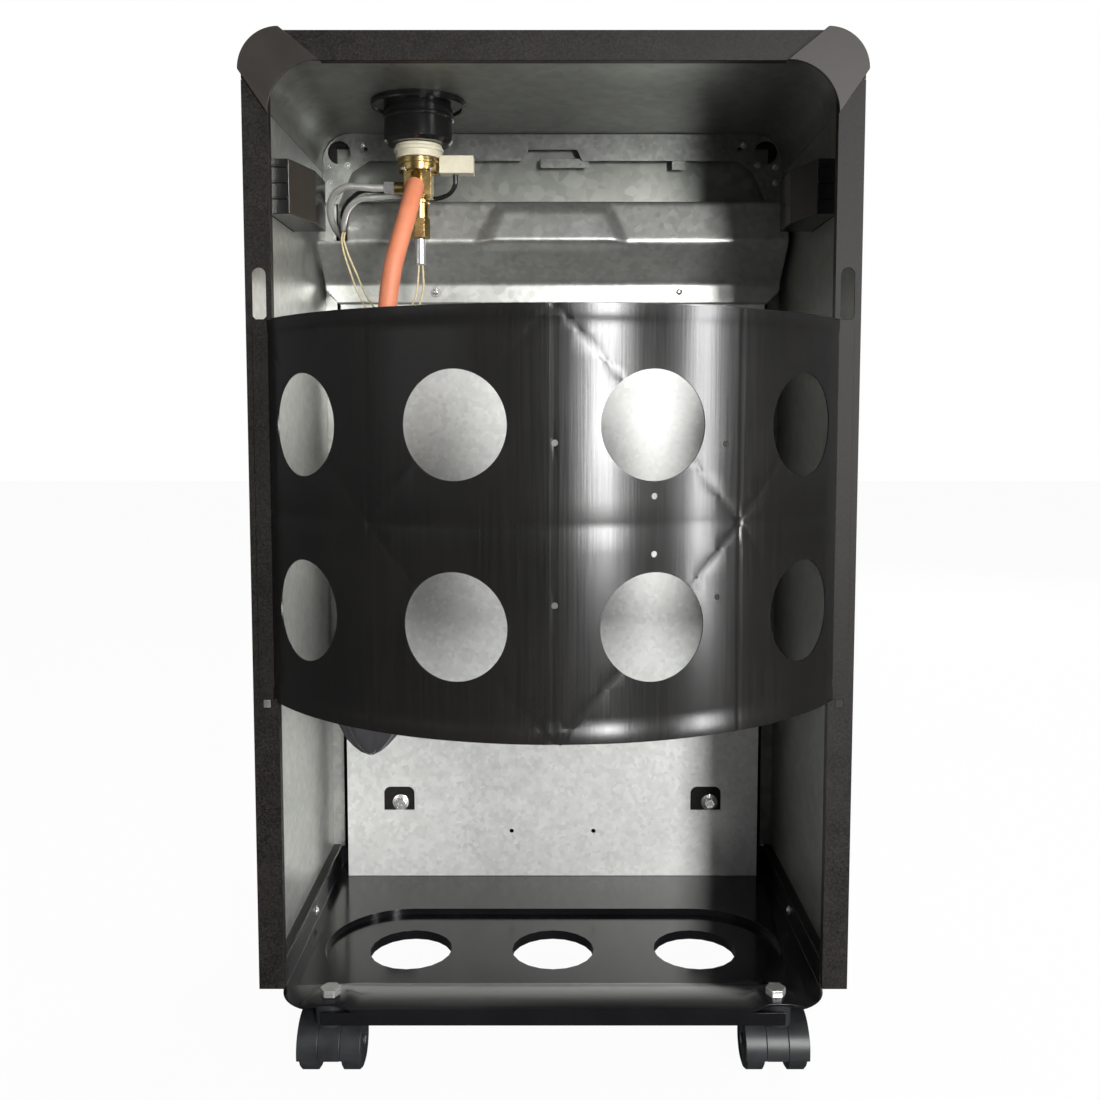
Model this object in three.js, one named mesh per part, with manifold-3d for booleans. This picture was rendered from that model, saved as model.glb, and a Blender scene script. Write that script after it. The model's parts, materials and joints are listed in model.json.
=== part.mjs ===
// Portable gas cabinet heater with its gas bottle side open. All sizes are in millimetres.
// +X is to the right seen from the bottle side, +Y runs from the bottle side to the burner side and
// +Z is up. The origin lies on the floor under the middle of the whole heater.
import * as THREE from "three";
import { mergeVertices } from "three/addons/utils/BufferGeometryUtils.js";
import Module from "manifold-3d";

const wasm = await Module();
wasm.setup();

// ---- Clearances ----
const seatGap = 0.3; // between pieces that rest on or touch each other
const turnGap = 0.05; // around an axle, stem or spindle, on the radius
const cutOver = 1; // how far a cutting shape runs past the face it opens

// ---- Cabinet sheet metal ----
const cabinetWidth = 420;
const cabinetDepth = 270;
const cabinetTop = 740; // top face above the floor
const cabinetFoot = 74; // lower edge of the side panels above the floor
const cabinetSheet = 1.2;
const cornerRadius = 26; // outside radius of the two upper corners
const seamDrop = 6; // the top panel's skirt below the corner arc
const sideFlange = 18; // rear flange of a side panel
const topFlange = 20; // rear flange of the top panel
const frontFlange = 12;
const flangeLip = 7; // return at the flanges' inner edge
const hemStart = 36; // the side panels' bottom hem starts this far in from the rear

// ---- Corner caps over the notched flange corners ----
const capArc = 35; // radius of the inner, concave edge
const capWall = 1.5;
const capPlate = 2.2;
const capSkirt = 12; // how far the cap reaches round onto the panels

// ---- Bottle cover: a curved band that hangs in keyholes ----
const coverRadius = 231;
const coverEdge = 4.6; // its edges, in from the middle of the hooks
const coverBottom = 284.5;
const coverHeight = 263.5;
const coverSheet = 1.2;
const coverHole = 67; // diameter of the eight round windows
const coverInnerHole = 61.5; // along the arc, from the middle to the inner windows
const coverOuterHole = 51; // along the arc, from the edge to the outer windows
const coverRowHeight = 131; // midway between the two rows, above the cover's lower edge
const coverRowPitch = 122;
const coverSegments = 24;
const hookStem = 4.4; // width of the tab that passes through the keyhole
const hookHead = 8; // width of its head behind the flange
const hookHeight = 17;
const hookReach = 5; // depth of the hook behind the flange
const hookInset = 9.5; // middle of the hooks and keyholes, in from the cabinet's side
const upperHook = 243.5; // bottom of the upper hooks above the cover's lower edge
const lipInner = 6.5; // reach of the cover's flat side lips, inwards from the middle of the hooks
const lipOuter = 4.9; // and outwards
const keyholeHead = 9.4; // width of the wide upper part
const keyholeRise = 35; // height of that part
const keyholeLead = 3; // narrow part above the seated hook
const keyholeRun = 6; // run of the lower keyholes below the cover's foot

// ---- Base tray ----
const trayDeck = 56; // upper face above the floor
const traySheet = 1.5;
const trayRear = 5; // rear edge, in from the cabinet's rear
const trayFront = 6; // front edge, in from the cabinet's front
const trayCorner = 34; // plan radius of its corners
const trayInset = 8.4; // side edges, in from the cabinet's sides
const trayUpstand = 20; // height of its side and front flanges
const trayLip = 12; // depth of the lip along the rear
const recessDepth = 5;
const recessRadius = 65; // round ends of the bottle recess
const recessHalfLength = 185;
const recessMiddle = 107; // in from the cabinet's rear
const trayHole = 66; // diameter of the three holes in the recess
const trayHolePitch = 115;
const trayHoleCollar = 6; // rolled-down edge
const bossRadius = 25;
const bossTopRadius = 16;
const bossRise = 4;

// ---- Casters ----
const casterSide = 47; // stems, in from the cabinet's sides
const casterInset = 19; // stems, in from the cabinet's rear and front
const casterTrail = 10;
const wheelRadius = 20;
const wheelWidth = 15;
const webWidth = 16; // middle web between the two wheels
const fenderGap = 1.2;
const fenderWall = 2;
const casterNeck = 11; // radius of the hood's neck under the tray
const axleRadius = 3;
const stemRadius = 4;
const stemDepth = 16; // how far the bolt reaches below the neck's top
const boltHead = 13; // across the flats
const boltHeadHeight = 5.5;

// ---- Firewall and heat shield ----
const fireGap = 30; // firewall to the cabinet's front
const firewallInset = 20; // its ends, in from the cabinet's sides
const firewallTop = 144; // below the cabinet's top
const firewallFlange = 22;
const windowWidth = 28;
const windowHeight = 22;
const windowRadius = 6;
const windowX = 142;
const windowZ = 56; // middle of the windows above the cabinet's foot
const pinholeX = 38;
const pinholeZ = 25;
const pinholeRadius = 2;
const shieldInset = 7; // shield's ends, in from the cabinet's outer sides
const shieldFlange = 19; // vertical flange along its lower edge
const shieldLap = 13; // how far that flange overlaps the firewall
const shieldNose = 36; // how far the nose stands out behind the firewall
const shieldSlope = 30; // rise of the slope from the flange to the nose
const shieldFace = 36; // height of the face above the nose
const shieldSetback = 9; // how far that face leans forward
const shieldNotch = 26; // notch for the tubes at the left end
const shieldChamfer = 12;
const embossHalf = 68;
const embossTaper = 14;
const embossDepth = 5;

// ---- Rail and brackets under the top ----
const railDrop = 24; // height of the rail
const railSetback = 6; // in from the cabinet's front
const railInset = 42; // its ends, in from the cabinet's sides
const railNotchHalf = 27;
const railNotchHeight = 10;
const railNotchTaper = 5;
const bracketReach = 50; // from the side panel inwards
const bracketHeight = 63;
const bracketLeg = 14;
const bracketBend = 26;
const bracketShoulder = 18; // height of its free end
const bracketOpening = 10.5; // radius of the opening near the side panel
const bracketHole = 2;

// ---- Burner side ----
const frameDepth = 10;
const frameInset = 10; // frame and lower panel, in from the cabinet's sides
const frameWall = 1.6;
const frameHead = 80; // face above the burner opening
const frameJamb = 45; // face beside the opening
const openingHeight = 300; // of the burner opening
const panelJoint = 2;
const frameSill = 38; // face below the opening
const frameReturn = 2; // how far the opening's edge turns back into the cabinet
const earWidth = 32;
const earHeight = 36;
const housingSheet = 1.2;
const housingBack = 5; // behind the housing, from the firewall
const plaqueMargin = 13; // from the opening's sides to the row of plaques
const plaqueGap = 8;
const plaqueHeight = 136;
const plaqueThick = 12.7;
const plaqueBottom = 110; // above the opening's lower edge
const plenumDepth = 9;
const plenumEdge = 4;
const manifoldHeight = 60; // above the opening's lower edge
const manifoldRadius = 6;
const venturiRadius = 7;
const manifoldOver = 12; // beyond the outer venturis
const pilotX = -52;
const pilotRadius = 5;
const pilotHeight = 30;
const pilotHoodHalf = 9;
const pilotHoodDepth = 8;
const pilotShelfHalf = 14;
const pilotShelfDepth = 6;
const pilotSheet = 2;
const pilotTubeDrop = 12; // the pilot tube's end below the shelf
const cableRise = 10; // the ignition cable's end above the shelf
const guardWire = 3; // thickness of the wires
const guardBars = 12;
const guardCross = 1;
const guardStand = 2; // clear of the frame's face
const guardOver = 8; // how far the guard laps the face round the opening
const guardFeet = 8;

// ---- Handle cups ----
const handleStart = 66; // in from the cabinet's rear
const handleLength = 78;
const handleHeight = 40;
const handleMiddle = 89; // below the cabinet's top
const handleDepth = 26;
const handleShoulder = 15; // depth of its rear end, where it faces the bottle side
const handleSlope = 40; // run over which it deepens
const handleWall = 2;
const handleRim = 6; // rim around the mouth, outside the panel
const handleRimThick = 2;

// ---- Gas control under the top ----
const controlX = -110;
const controlY = 165; // in from the cabinet's rear
const bezelRadius = 28;
const bezelFlange = 39;
const bezelFlangeThick = 3.2;
const bezelDepth = 36;
const bezelWall = 2;
const bezelRim = 2; // stands above the top panel
const knobRadius = 22;
const knobFoot = 10; // below the knob, above the bezel's floor
const knobRise = 12; // above the cabinet's top
const knobSkirt = 3;
const knobBore = 11; // depth of the spindle in the knob
const spindleSocket = 10; // depth of the spindle's socket in the valve
const knobPush = 6; // travel when pushed in
const knobMarks = 4; // grip ribs on each side of the pointer
const knobRib = 1.6; // radius of a rib and half the pointer's width
const gripRadius = 19; // the grip above the skirt
const spindleRadius = 4;
const collarRadius = 19;
const collarHeight = 11;
const brassRadius = 17;
const brassHeight = 9;
const valveHalf = 11;
const valveHeight = 21;
const switchLength = 28;
const switchHeight = 14;
const switchDepth = 14;
const outletDrop = 13.5; // tube outlet below the brass plate
const outletRadius = 5;
const outletReach = 9;
const nutFlats = 9;
const nutLength = 8;
const spudRadius = 4.5;
const spudLength = 18;

// ---- Flame-failure interrupter, hanging from the valve ----
const interrupterY = 7; // in front of the control's middle
const interrupterRadius = 7;
const interrupterBody = 16;
const interrupterNut = 16;
const interrupterFlats = 14;
const interrupterTip = 21;
const tipRadius = 4.5;

// ---- Soft tubes and wires ----
const hoseRadius = 7.5;
const feedRadius = 3;
const pilotTubeRadius = 2.5;
const cableRadius = 2;
const leadRadius = 0.8;
const regulatorX = -147;
const regulatorY = 117;
const hoseDrop = 418; // hose's lower end, below the cabinet's top
const regulatorRadius = 27;
const regulatorHeight = 44;
const nozzleHeight = 26;
const feedEntryRun = 30; // straight run of the feed tube into the housing
const bagRadius = 38;
const bagFilm = 1;
const bagDrop = 113; // bag's tip, below the hose's end

// ---- Places worked out from the sizes above ----
const side = cabinetWidth / 2;
const casterX = side - casterSide;
const firewallHalf = side - firewallInset;
const railHalf = side - railInset;
const hoseEnd = cabinetTop - hoseDrop;
const bagBottom = hoseEnd - bagDrop;
const hookX = side - hookInset;
const coverHalfAngle = (Math.asin((hookX - coverEdge) / coverRadius) * 180) / Math.PI;
const coverSag = coverRadius - (coverRadius - coverSheet) * Math.cos(radians(coverHalfAngle)) + seatGap;
const frontReach = seatGap + frameDepth + guardStand + guardWire;
const rear = coverSag - (coverSag + cabinetDepth + frontReach) / 2;
const fromRear = (distance) => rear + distance;
const front = fromRear(cabinetDepth);
const innerSide = side - cabinetSheet;
const innerTop = cabinetTop - cabinetSheet;
const seam = cabinetTop - cornerRadius - seamDrop;
const firewallY = front - fireGap;
const shieldBack = firewallY - seatGap; // front of the shield's lower flange
const shieldFoot = cabinetTop - firewallTop - shieldLap;
const noseZ = shieldFoot + shieldFlange + shieldSlope;
const faceTop = noseZ + shieldFace;
const noseY = firewallY - shieldNose;
const openingTop = cabinetTop - frameHead;
const openingBottom = openingTop - openingHeight;
const panelSplit = openingBottom - frameSill; // joint between the frame and the lower panel
const openingHalf = side - frameJamb;
const plaqueWidth = (2 * (openingHalf - plaqueMargin) - 2 * plaqueGap) / 3;
const plaquePitch = plaqueWidth + plaqueGap;
const plenumFront = firewallY + housingBack + housingSheet + plenumDepth;
const plaqueFoot = openingBottom + plaqueBottom;
const controlDepth = fromRear(controlY);
const bezelFloor = cabinetTop - bezelDepth;
const collarTop = bezelFloor - seatGap;
const brassTop = collarTop - collarHeight - seatGap;
const valveTop = brassTop - brassHeight;
const outletZ = valveTop - outletDrop;
const trayUnder = trayDeck - traySheet;
const recessFloor = trayDeck - recessDepth;

// ---- Shapes ----
function radians(degrees) {
  return (degrees * Math.PI) / 180;
}

/** A flat outline through [a, b] points. */
function outline(points) {
  return new THREE.Shape(points.map(([a, b]) => new THREE.Vector2(a, b)));
}

/** A closed geometry as a solid that can be cut and joined, its faces turned out. */
function solid(geometry) {
  const bare = geometry.clone();
  bare.deleteAttribute("normal");
  bare.deleteAttribute("uv");
  const merged = mergeVertices(bare, 1e-4);
  const corners = merged.index.array;
  const kept = [];
  for (let i = 0; i < corners.length; i += 3) {
    const [a, b, c] = corners.slice(i, i + 3);
    if (a !== b && b !== c && c !== a) kept.push(a, b, c);
  }
  const vertProperties = new Float32Array(merged.attributes.position.array);
  const build = (list) =>
    new wasm.Manifold(new wasm.Mesh({ numProp: 3, vertProperties, triVerts: new Uint32Array(list) }));
  const made = build(kept);
  return made.volume() < 0 ? build(kept.reverse()) : made;
}

/** Joins solids that overlap or share a face. */
function join(...solids) {
  return solids.reduce((sum, next) => sum.add(next));
}

/** Cuts each of the other solids from the first. */
function cut(base, ...tools) {
  return tools.reduce((rest, tool) => rest.subtract(tool), base);
}

/** Cuts the outline [a, b] along an axis: x takes it in Y and Z, y in X and Z, z in X and Y. */
function prism(shape, axis, start, end, curveSegments = 8) {
  const depth = end - start;
  const geometry = new THREE.ExtrudeGeometry(shape, { depth, bevelEnabled: false, curveSegments });
  const [x, y, z] = [new THREE.Vector3(1, 0, 0), new THREE.Vector3(0, 1, 0), new THREE.Vector3(0, 0, 1)];
  if (axis === "x") geometry.applyMatrix4(new THREE.Matrix4().makeBasis(y, z, x)).translate(start, 0, 0);
  if (axis === "y") geometry.rotateX(Math.PI / 2).translate(0, end, 0);
  if (axis === "z") geometry.translate(0, 0, start);
  return solid(geometry);
}

/** A rectangular block between two corners. */
function block([x0, x1], [y0, y1], [z0, z1]) {
  const geometry = new THREE.BoxGeometry(Math.abs(x1 - x0), y1 - y0, z1 - z0);
  return solid(geometry.translate((x0 + x1) / 2, (y0 + y1) / 2, (z0 + z1) / 2));
}

/** A round bar through centre along an axis, from start to end on that axis. */
function bar(radius, axis, [x, y, z], start, end, sides = 24, tipRadius = radius) {
  const geometry = new THREE.CylinderGeometry(tipRadius, radius, end - start, sides);
  const middle = (start + end) / 2;
  if (axis === "x") geometry.rotateZ(-Math.PI / 2).translate(middle, y, z);
  if (axis === "y") geometry.translate(x, middle, z);
  if (axis === "z") geometry.rotateX(Math.PI / 2).translate(x, y, middle);
  return solid(geometry);
}

/** A bore of 12 sides whose flats just clear a round of this radius. */
function bore(radius, axis, at, start, end) {
  return bar(radius / Math.cos(Math.PI / 12), axis, at, start, end, 12);
}

/** A turned shape about a vertical axis, from [radius, height] points that start and end on the axis. */
function turned(points, x, y, sides = 32) {
  const profile = points.map(([radius, height]) => new THREE.Vector2(radius, height));
  return solid(new THREE.LatheGeometry(profile, sides).rotateX(Math.PI / 2).translate(x, y, 0));
}

/** A round tube that follows a smooth curve through [x, y, z] points. */
function tube(points, radius, sides, steps) {
  const ring = [];
  for (let i = 0; i < sides; i += 1) {
    const angle = (i / sides) * 2 * Math.PI;
    ring.push([radius * Math.cos(angle), radius * Math.sin(angle)]);
  }
  const path = new THREE.CatmullRomCurve3(points.map((point) => new THREE.Vector3(...point)));
  const settings = { steps, bevelEnabled: false, extrudePath: path };
  return solid(new THREE.ExtrudeGeometry(outline(ring), settings));
}

/** A sheet folded along a line of [a, b] points, as the closed outline around it. */
function folded(line, thickness) {
  const points = line.map(([a, b]) => new THREE.Vector2(a, b));
  const edge = (offset) =>
    points.map((point, i) => {
      const before = point.clone().sub(points[Math.max(i - 1, 0)]);
      const after = points[Math.min(i + 1, points.length - 1)].clone().sub(point);
      const directions = [before, after].filter((step) => step.length() > 0).map((step) => step.normalize());
      const normals = directions.map((step) => new THREE.Vector2(-step.y, step.x));
      const mitre = normals.reduce((sum, normal) => sum.add(normal), new THREE.Vector2()).normalize();
      const normal = new THREE.Vector2(-directions[0].y, directions[0].x);
      return point.clone().addScaledVector(mitre, offset / mitre.dot(normal));
    });
  return new THREE.Shape([...edge(thickness / 2), ...edge(-thickness / 2).reverse()]);
}

/** A hexagonal outline of the given width across its flats, around [a, b]. */
function hexagon(flats, a, b) {
  const corner = flats / 2 / Math.cos(Math.PI / 6);
  const points = [];
  for (let i = 0; i < 6; i += 1) {
    const angle = (i * Math.PI) / 3;
    points.push([a + corner * Math.cos(angle), b + corner * Math.sin(angle)]);
  }
  return outline(points);
}

// ---- Finishes ----
function finish(color, roughness, metalness) {
  return new THREE.MeshStandardMaterial({ color, roughness, metalness });
}
const powderCoat = finish(0x24211f, 0.6, 0.1);
const capPlastic = finish(0x3b332c, 0.5, 0);
const galvanised = finish(0xa3a69f, 0.4, 0.8);
const enamel = finish(0x101012, 0.2, 0.2);
const blackPlastic = finish(0x161616, 0.35, 0);
const casterPlastic = finish(0x2c2e30, 0.45, 0);
const steel = finish(0xb9bbb8, 0.3, 0.9);
const brass = finish(0xc29a50, 0.3, 0.9);
const nylon = finish(0xcfc9b0, 0.5, 0);
const hoseRubber = finish(0xe68c60, 0.55, 0);
const aluminium = finish(0xbcbcb8, 0.35, 0.9);
const ceramic = finish(0xd9cdb8, 0.9, 0);
const leadSleeve = finish(0xd9c9a0, 0.6, 0);
const bagPlastic = finish(0x3a3a3e, 0.3, 0);

const heater = new THREE.Group();

/** Adds one named piece of the heater. */
function piece(name, shape, material) {
  const { numProp, vertProperties, triVerts } = shape.getMesh();
  const geometry = new THREE.BufferGeometry();
  const positions = new THREE.BufferAttribute(new Float32Array(vertProperties), numProp);
  geometry.setAttribute("position", positions);
  geometry.setIndex(new THREE.BufferAttribute(new Uint32Array(triVerts), 1));
  geometry.computeVertexNormals();
  const mesh = new THREE.Mesh(geometry, material);
  mesh.name = name;
  heater.add(mesh);
}

// ---- Cabinet ----
/** A keyhole in X and Z: a narrow slot under a wide part with a round top. */
function keyhole(x, bottom, wideBottom) {
  const narrow = hookStem / 2 + seatGap;
  const wide = keyholeHead / 2;
  const shoulder = wideBottom + wide - narrow;
  const shape = outline([
    [x - narrow, bottom], [x + narrow, bottom], [x + narrow, wideBottom], [x + wide, shoulder],
  ]);
  shape.absarc(x, wideBottom + keyholeRise - wide, wide, 0, Math.PI);
  shape.lineTo(x - wide, shoulder);
  shape.lineTo(x - narrow, wideBottom);
  return shape;
}

/** One side panel: a wall with flanges at the rear and the front and a hem along its foot. */
function sidePanel(hand) {
  const edge = side - sideFlange;
  const plan = [
    [edge, fromRear(flangeLip)], [edge, rear], [side, rear], [side, front], [side - frontFlange, front],
    [side - frontFlange, front - cabinetSheet], [innerSide, front - cabinetSheet],
    [innerSide, rear + cabinetSheet], [edge + cabinetSheet, rear + cabinetSheet],
    [edge + cabinetSheet, fromRear(flangeLip)],
  ];
  const wall = prism(outline(plan.map(([x, y]) => [hand * x, y])), "z", cabinetFoot, seam - seatGap);
  const hemEdge = side - trayInset + seatGap;
  const hem = block(
    [hand * hemEdge, hand * side], [fromRear(hemStart), front], [cabinetFoot, cabinetFoot + cabinetSheet],
  );
  const slots = [[coverBottom + upperHook, seatGap], [coverBottom, keyholeRun]].map(([hookFoot, run]) => {
    const shape = keyhole(hand * hookX, hookFoot - run, hookFoot + hookHeight + keyholeLead);
    return prism(shape, "y", rear - cutOver, rear + cabinetSheet + cutOver, 6);
  });
  const mouth = block(
    [hand * (innerSide - cutOver), hand * (side + cutOver)],
    [fromRear(handleStart) - seatGap, fromRear(handleStart + handleLength) + seatGap],
    [handleZ(-1) - seatGap, handleZ(1) + seatGap],
  );
  return cut(join(wall, hem), ...slots, mouth);
}

/** Lower (-1) or upper (1) edge of a handle cup. */
function handleZ(end) {
  return cabinetTop - handleMiddle + (end * handleHeight) / 2;
}

/** An arch in X and Z with round shoulders. */
function arch(half, top, radius, foot) {
  const shape = outline([[-half, foot], [half, foot]]);
  shape.absarc(half - radius, top - radius, radius, 0, Math.PI / 2);
  shape.absarc(-half + radius, top - radius, radius, Math.PI / 2, Math.PI);
  return shape;
}

/** The top panel with its round shoulders, flanges and the control's opening. */
function topPanel() {
  const skin = prism(arch(side, cabinetTop, cornerRadius, seam), "y", rear, front, 8);
  const innerRadius = cornerRadius - cabinetSheet;
  const inside = prism(
    arch(innerSide, innerTop, innerRadius, seam - cutOver), "y",
    rear + cabinetSheet, front - cabinetSheet, 8,
  );
  const rearMouth = block(
    [-side + sideFlange, side - sideFlange],
    [rear - cutOver, rear + cabinetSheet + cutOver],
    [seam - cutOver, cabinetTop - topFlange],
  );
  const frontMouth = block(
    [-side + frontFlange, side - frontFlange],
    [front - cabinetSheet - cutOver, front + cutOver],
    [seam - cutOver, cabinetTop - frontFlange],
  );
  const opening = bar(
    bezelRadius + seatGap, "z", [controlX, controlDepth, 0], innerTop - cutOver, cabinetTop + cutOver, 24,
  );
  const lipHalf = side - sideFlange - capArc;
  const lip = block(
    [-lipHalf, lipHalf], [rear, fromRear(flangeLip)],
    [cabinetTop - topFlange, cabinetTop - topFlange + cabinetSheet],
  );
  return join(cut(skin, inside, rearMouth, frontMouth, opening), lip);
}

/** A moulded cap over one upper corner of the rear flanges, with a skirt round the corner. */
function cornerCap(hand) {
  const outer = cornerRadius + seatGap + capWall;
  const centreX = side - cornerRadius;
  const centreZ = cabinetTop - cornerRadius;
  const tipX = side - sideFlange;
  const tipZ = cabinetTop - topFlange;
  const plate = outline([[tipX - capArc, tipZ], [centreX, centreZ + outer]]);
  plate.absarc(centreX, centreZ, outer, Math.PI / 2, 0, true);
  plate.lineTo(tipX, tipZ - capArc);
  plate.absarc(tipX - capArc, tipZ - capArc, capArc, 0, Math.PI / 2);
  const skirt = new THREE.Shape();
  skirt.absarc(centreX, centreZ, outer, Math.PI / 2, 0, true);
  skirt.absarc(centreX, centreZ, cornerRadius + seatGap, 0, Math.PI / 2);
  const back = rear - seatGap - capPlate;
  const both = join(
    prism(plate, "y", back, rear - seatGap, 8),
    prism(skirt, "y", back, fromRear(capSkirt), 8),
  );
  return hand > 0 ? both : both.mirror([1, 0, 0]);
}

/** A handle cup let into a side panel, open to the outside. */
function handleCup(hand) {
  const start = fromRear(handleStart);
  const end = start + handleLength;
  const mouthX = side + seatGap + handleRimThick;
  const depthX = innerSide - handleDepth;
  const shoulder = innerSide - handleShoulder;
  const cup = (wall) => {
    const floor = depthX + wall;
    const corners = [
      [mouthX + wall, start + wall], [shoulder + wall, start + wall], [floor, start + handleSlope],
      [floor, end - wall], [mouthX + wall, end - wall],
    ];
    const plan = outline(corners.map(([x, y]) => [hand * x, y]));
    return prism(plan, "z", handleZ(-1) + wall, handleZ(1) - wall);
  };
  const rim = block(
    [hand * (side + seatGap), hand * mouthX],
    [start - handleRim, end + handleRim], [handleZ(-1) - handleRim, handleZ(1) + handleRim],
  );
  const trim = block(
    [hand * mouthX, hand * (mouthX + handleDepth)],
    [start - cutOver, end + cutOver], [handleZ(-1) - cutOver, handleZ(1) + cutOver],
  );
  return cut(join(cup(0), rim), cup(handleWall), trim);
}

for (const [word, hand] of [["left", -1], ["right", 1]]) {
  piece(word + "_side_panel", sidePanel(hand), powderCoat);
  piece("corner_cap_" + word, cornerCap(hand), capPlastic);
  piece("handle_cup_" + word, handleCup(hand), blackPlastic);
}
piece("top_panel", topPanel(), powderCoat);

// ---- Base tray ----
/** The tray's outline seen from above, with round rear corners. */
function trayPlan() {
  const half = side - trayInset;
  const back = fromRear(trayRear);
  const shape = outline([[half, front - trayFront], [-half, front - trayFront]]);
  shape.absarc(-half + trayCorner, back + trayCorner, trayCorner, Math.PI, 1.5 * Math.PI);
  shape.absarc(half - trayCorner, back + trayCorner, trayCorner, 1.5 * Math.PI, 2 * Math.PI);
  return shape;
}

/** The bottle recess seen from above: straight sides and round ends. */
function recessPlan(inset) {
  const radius = recessRadius - inset;
  const end = recessHalfLength - recessRadius;
  const shape = new THREE.Shape();
  shape.absarc(end, fromRear(recessMiddle), radius, -Math.PI / 2, Math.PI / 2);
  shape.absarc(-end, fromRear(recessMiddle), radius, Math.PI / 2, 1.5 * Math.PI);
  return shape;
}

/** Places of the four casters' stems and how far the tray is raised there: [name, x, y, rise]. */
const casterPlaces = [
  ["rear_left", -casterX, fromRear(casterInset), bossRise],
  ["rear_right", casterX, fromRear(casterInset), bossRise],
  ["front_left", -casterX, front - casterInset, 0],
  ["front_right", casterX, front - casterInset, 0],
];

/** The pressed tray: deck, recess with three holes, flanges, rear lip and four raised bosses. */
function baseTray() {
  const half = side - trayInset;
  const flangeTop = trayDeck + trayUpstand;
  const flangeStart = fromRear(trayRear + trayCorner);
  const frontEdge = front - trayFront;
  const lipHalf = half - trayCorner;
  const deck = cut(
    prism(trayPlan(), "z", trayUnder, trayDeck, 6),
    prism(recessPlan(0), "z", trayUnder - cutOver, trayDeck + cutOver, 8),
  );
  const pan = cut(
    prism(recessPlan(0), "z", recessFloor - traySheet, trayDeck, 8),
    prism(recessPlan(traySheet), "z", recessFloor, trayDeck + cutOver, 8),
  );
  const flanges = [-1, 1].map((hand) =>
    block([hand * (half - traySheet), hand * half], [flangeStart, frontEdge], [trayUnder, flangeTop]),
  );
  const frontWall = block([-half, half], [frontEdge - traySheet, frontEdge], [trayUnder, flangeTop]);
  const lip = block(
    [-lipHalf, lipHalf], [fromRear(trayRear), fromRear(trayRear) + traySheet],
    [trayDeck - trayLip, trayDeck],
  );
  const holes = [-1, 0, 1].map((step) => {
    const centre = [step * trayHolePitch, fromRear(recessMiddle), 0];
    const collarFoot = recessFloor - traySheet - trayHoleCollar;
    const collar = bar(trayHole / 2 + traySheet, "z", centre, collarFoot, recessFloor, 20);
    const hole = bar(trayHole / 2, "z", centre, collarFoot - cutOver, recessFloor + cutOver, 20);
    return [collar, hole];
  });
  const collars = holes.map(([collar]) => collar);
  const bores = holes.map(([, hole]) => hole);
  const clip = prism(trayPlan(), "z", trayUnder - cutOver, trayDeck + bossRise + cutOver, 6);
  const raised = casterPlaces.filter(([, , , rise]) => rise > 0);
  const bosses = raised.map(([, x, y]) =>
    bar(bossRadius, "z", [x, y, 0], trayUnder, trayDeck + bossRise, 16, bossTopRadius).intersect(clip),
  );
  const hollows = raised.map(([, x, y, rise]) =>
    bar(
      bossRadius - traySheet, "z", [x, y, 0],
      trayUnder - cutOver, trayUnder + rise, 16, bossTopRadius - traySheet,
    ),
  );
  const stems = casterPlaces.map(([, x, y]) =>
    bar(stemRadius + seatGap, "z", [x, y, 0], trayUnder - cutOver, trayDeck + bossRise + cutOver, 10),
  );
  const sheetMetal = join(deck, pan, ...flanges, frontWall, lip, ...collars, ...bosses);
  return cut(sheetMetal, ...bores, ...hollows, ...stems);
}
piece("base_tray", baseTray(), enamel);

// ---- Casters ----
/** A caster's hood: a web between the wheels, a fender over each wheel and a neck for the bolt. */
function casterHood(x, y, neckTop) {
  const axleY = y + casterTrail;
  const inner = wheelRadius + fenderGap;
  const outer = inner + fenderWall;
  const half = webWidth / 2 + seatGap + wheelWidth;
  const web = new THREE.Shape();
  web.absarc(axleY, wheelRadius, outer, radians(15), radians(190));
  web.lineTo(axleY - axleRadius * 3, wheelRadius - axleRadius * 3);
  web.lineTo(axleY + axleRadius * 3, wheelRadius - axleRadius * 3);
  const fender = new THREE.Shape();
  fender.absarc(axleY, wheelRadius, outer, radians(15), radians(190));
  fender.absarc(axleY, wheelRadius, inner, radians(190), radians(15), true);
  const neck = bar(casterNeck, "z", [x, y, 0], wheelRadius + outer - fenderWall - 1, neckTop, 12);
  const clearWheels = [-1, 1].map((hand) => {
    const near = x + hand * (webWidth / 2);
    const far = x + hand * half;
    return bar(inner, "x", [0, axleY, wheelRadius], Math.min(near, far), Math.max(near, far), 14);
  });
  const stem = bore(
    stemRadius + turnGap, "z", [x, y, 0], neckTop - stemDepth - seatGap, neckTop + cutOver,
  );
  const axle = bore(
    axleRadius, "x", [0, axleY, wheelRadius], x - webWidth / 2 - cutOver, x + webWidth / 2 + cutOver,
  );
  const body = join(
    prism(web, "x", x - webWidth / 2, x + webWidth / 2, 5), prism(fender, "x", x - half, x + half, 5), neck,
  );
  return cut(body, ...clearWheels, stem, axle);
}

/** One wheel of a caster's pair. */
function casterWheel(x, y, hand) {
  const near = x + hand * (webWidth / 2 + seatGap);
  const far = near + hand * wheelWidth;
  const centre = [0, y + casterTrail, wheelRadius];
  const [start, end] = [Math.min(near, far), Math.max(near, far)];
  const disc = bar(wheelRadius, "x", centre, start, end, 20);
  return cut(disc, bore(axleRadius, "x", centre, start - cutOver, end + cutOver));
}

/** The hexagon bolt that holds a caster and that its hood turns about. */
function casterBolt(x, y, neckTop) {
  const seat = neckTop + traySheet + 2 * seatGap;
  const stem = bar(stemRadius, "z", [x, y, 0], neckTop - stemDepth, seat + cutOver, 12);
  return join(stem, prism(hexagon(boltHead, x, y), "z", seat, seat + boltHeadHeight));
}

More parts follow.
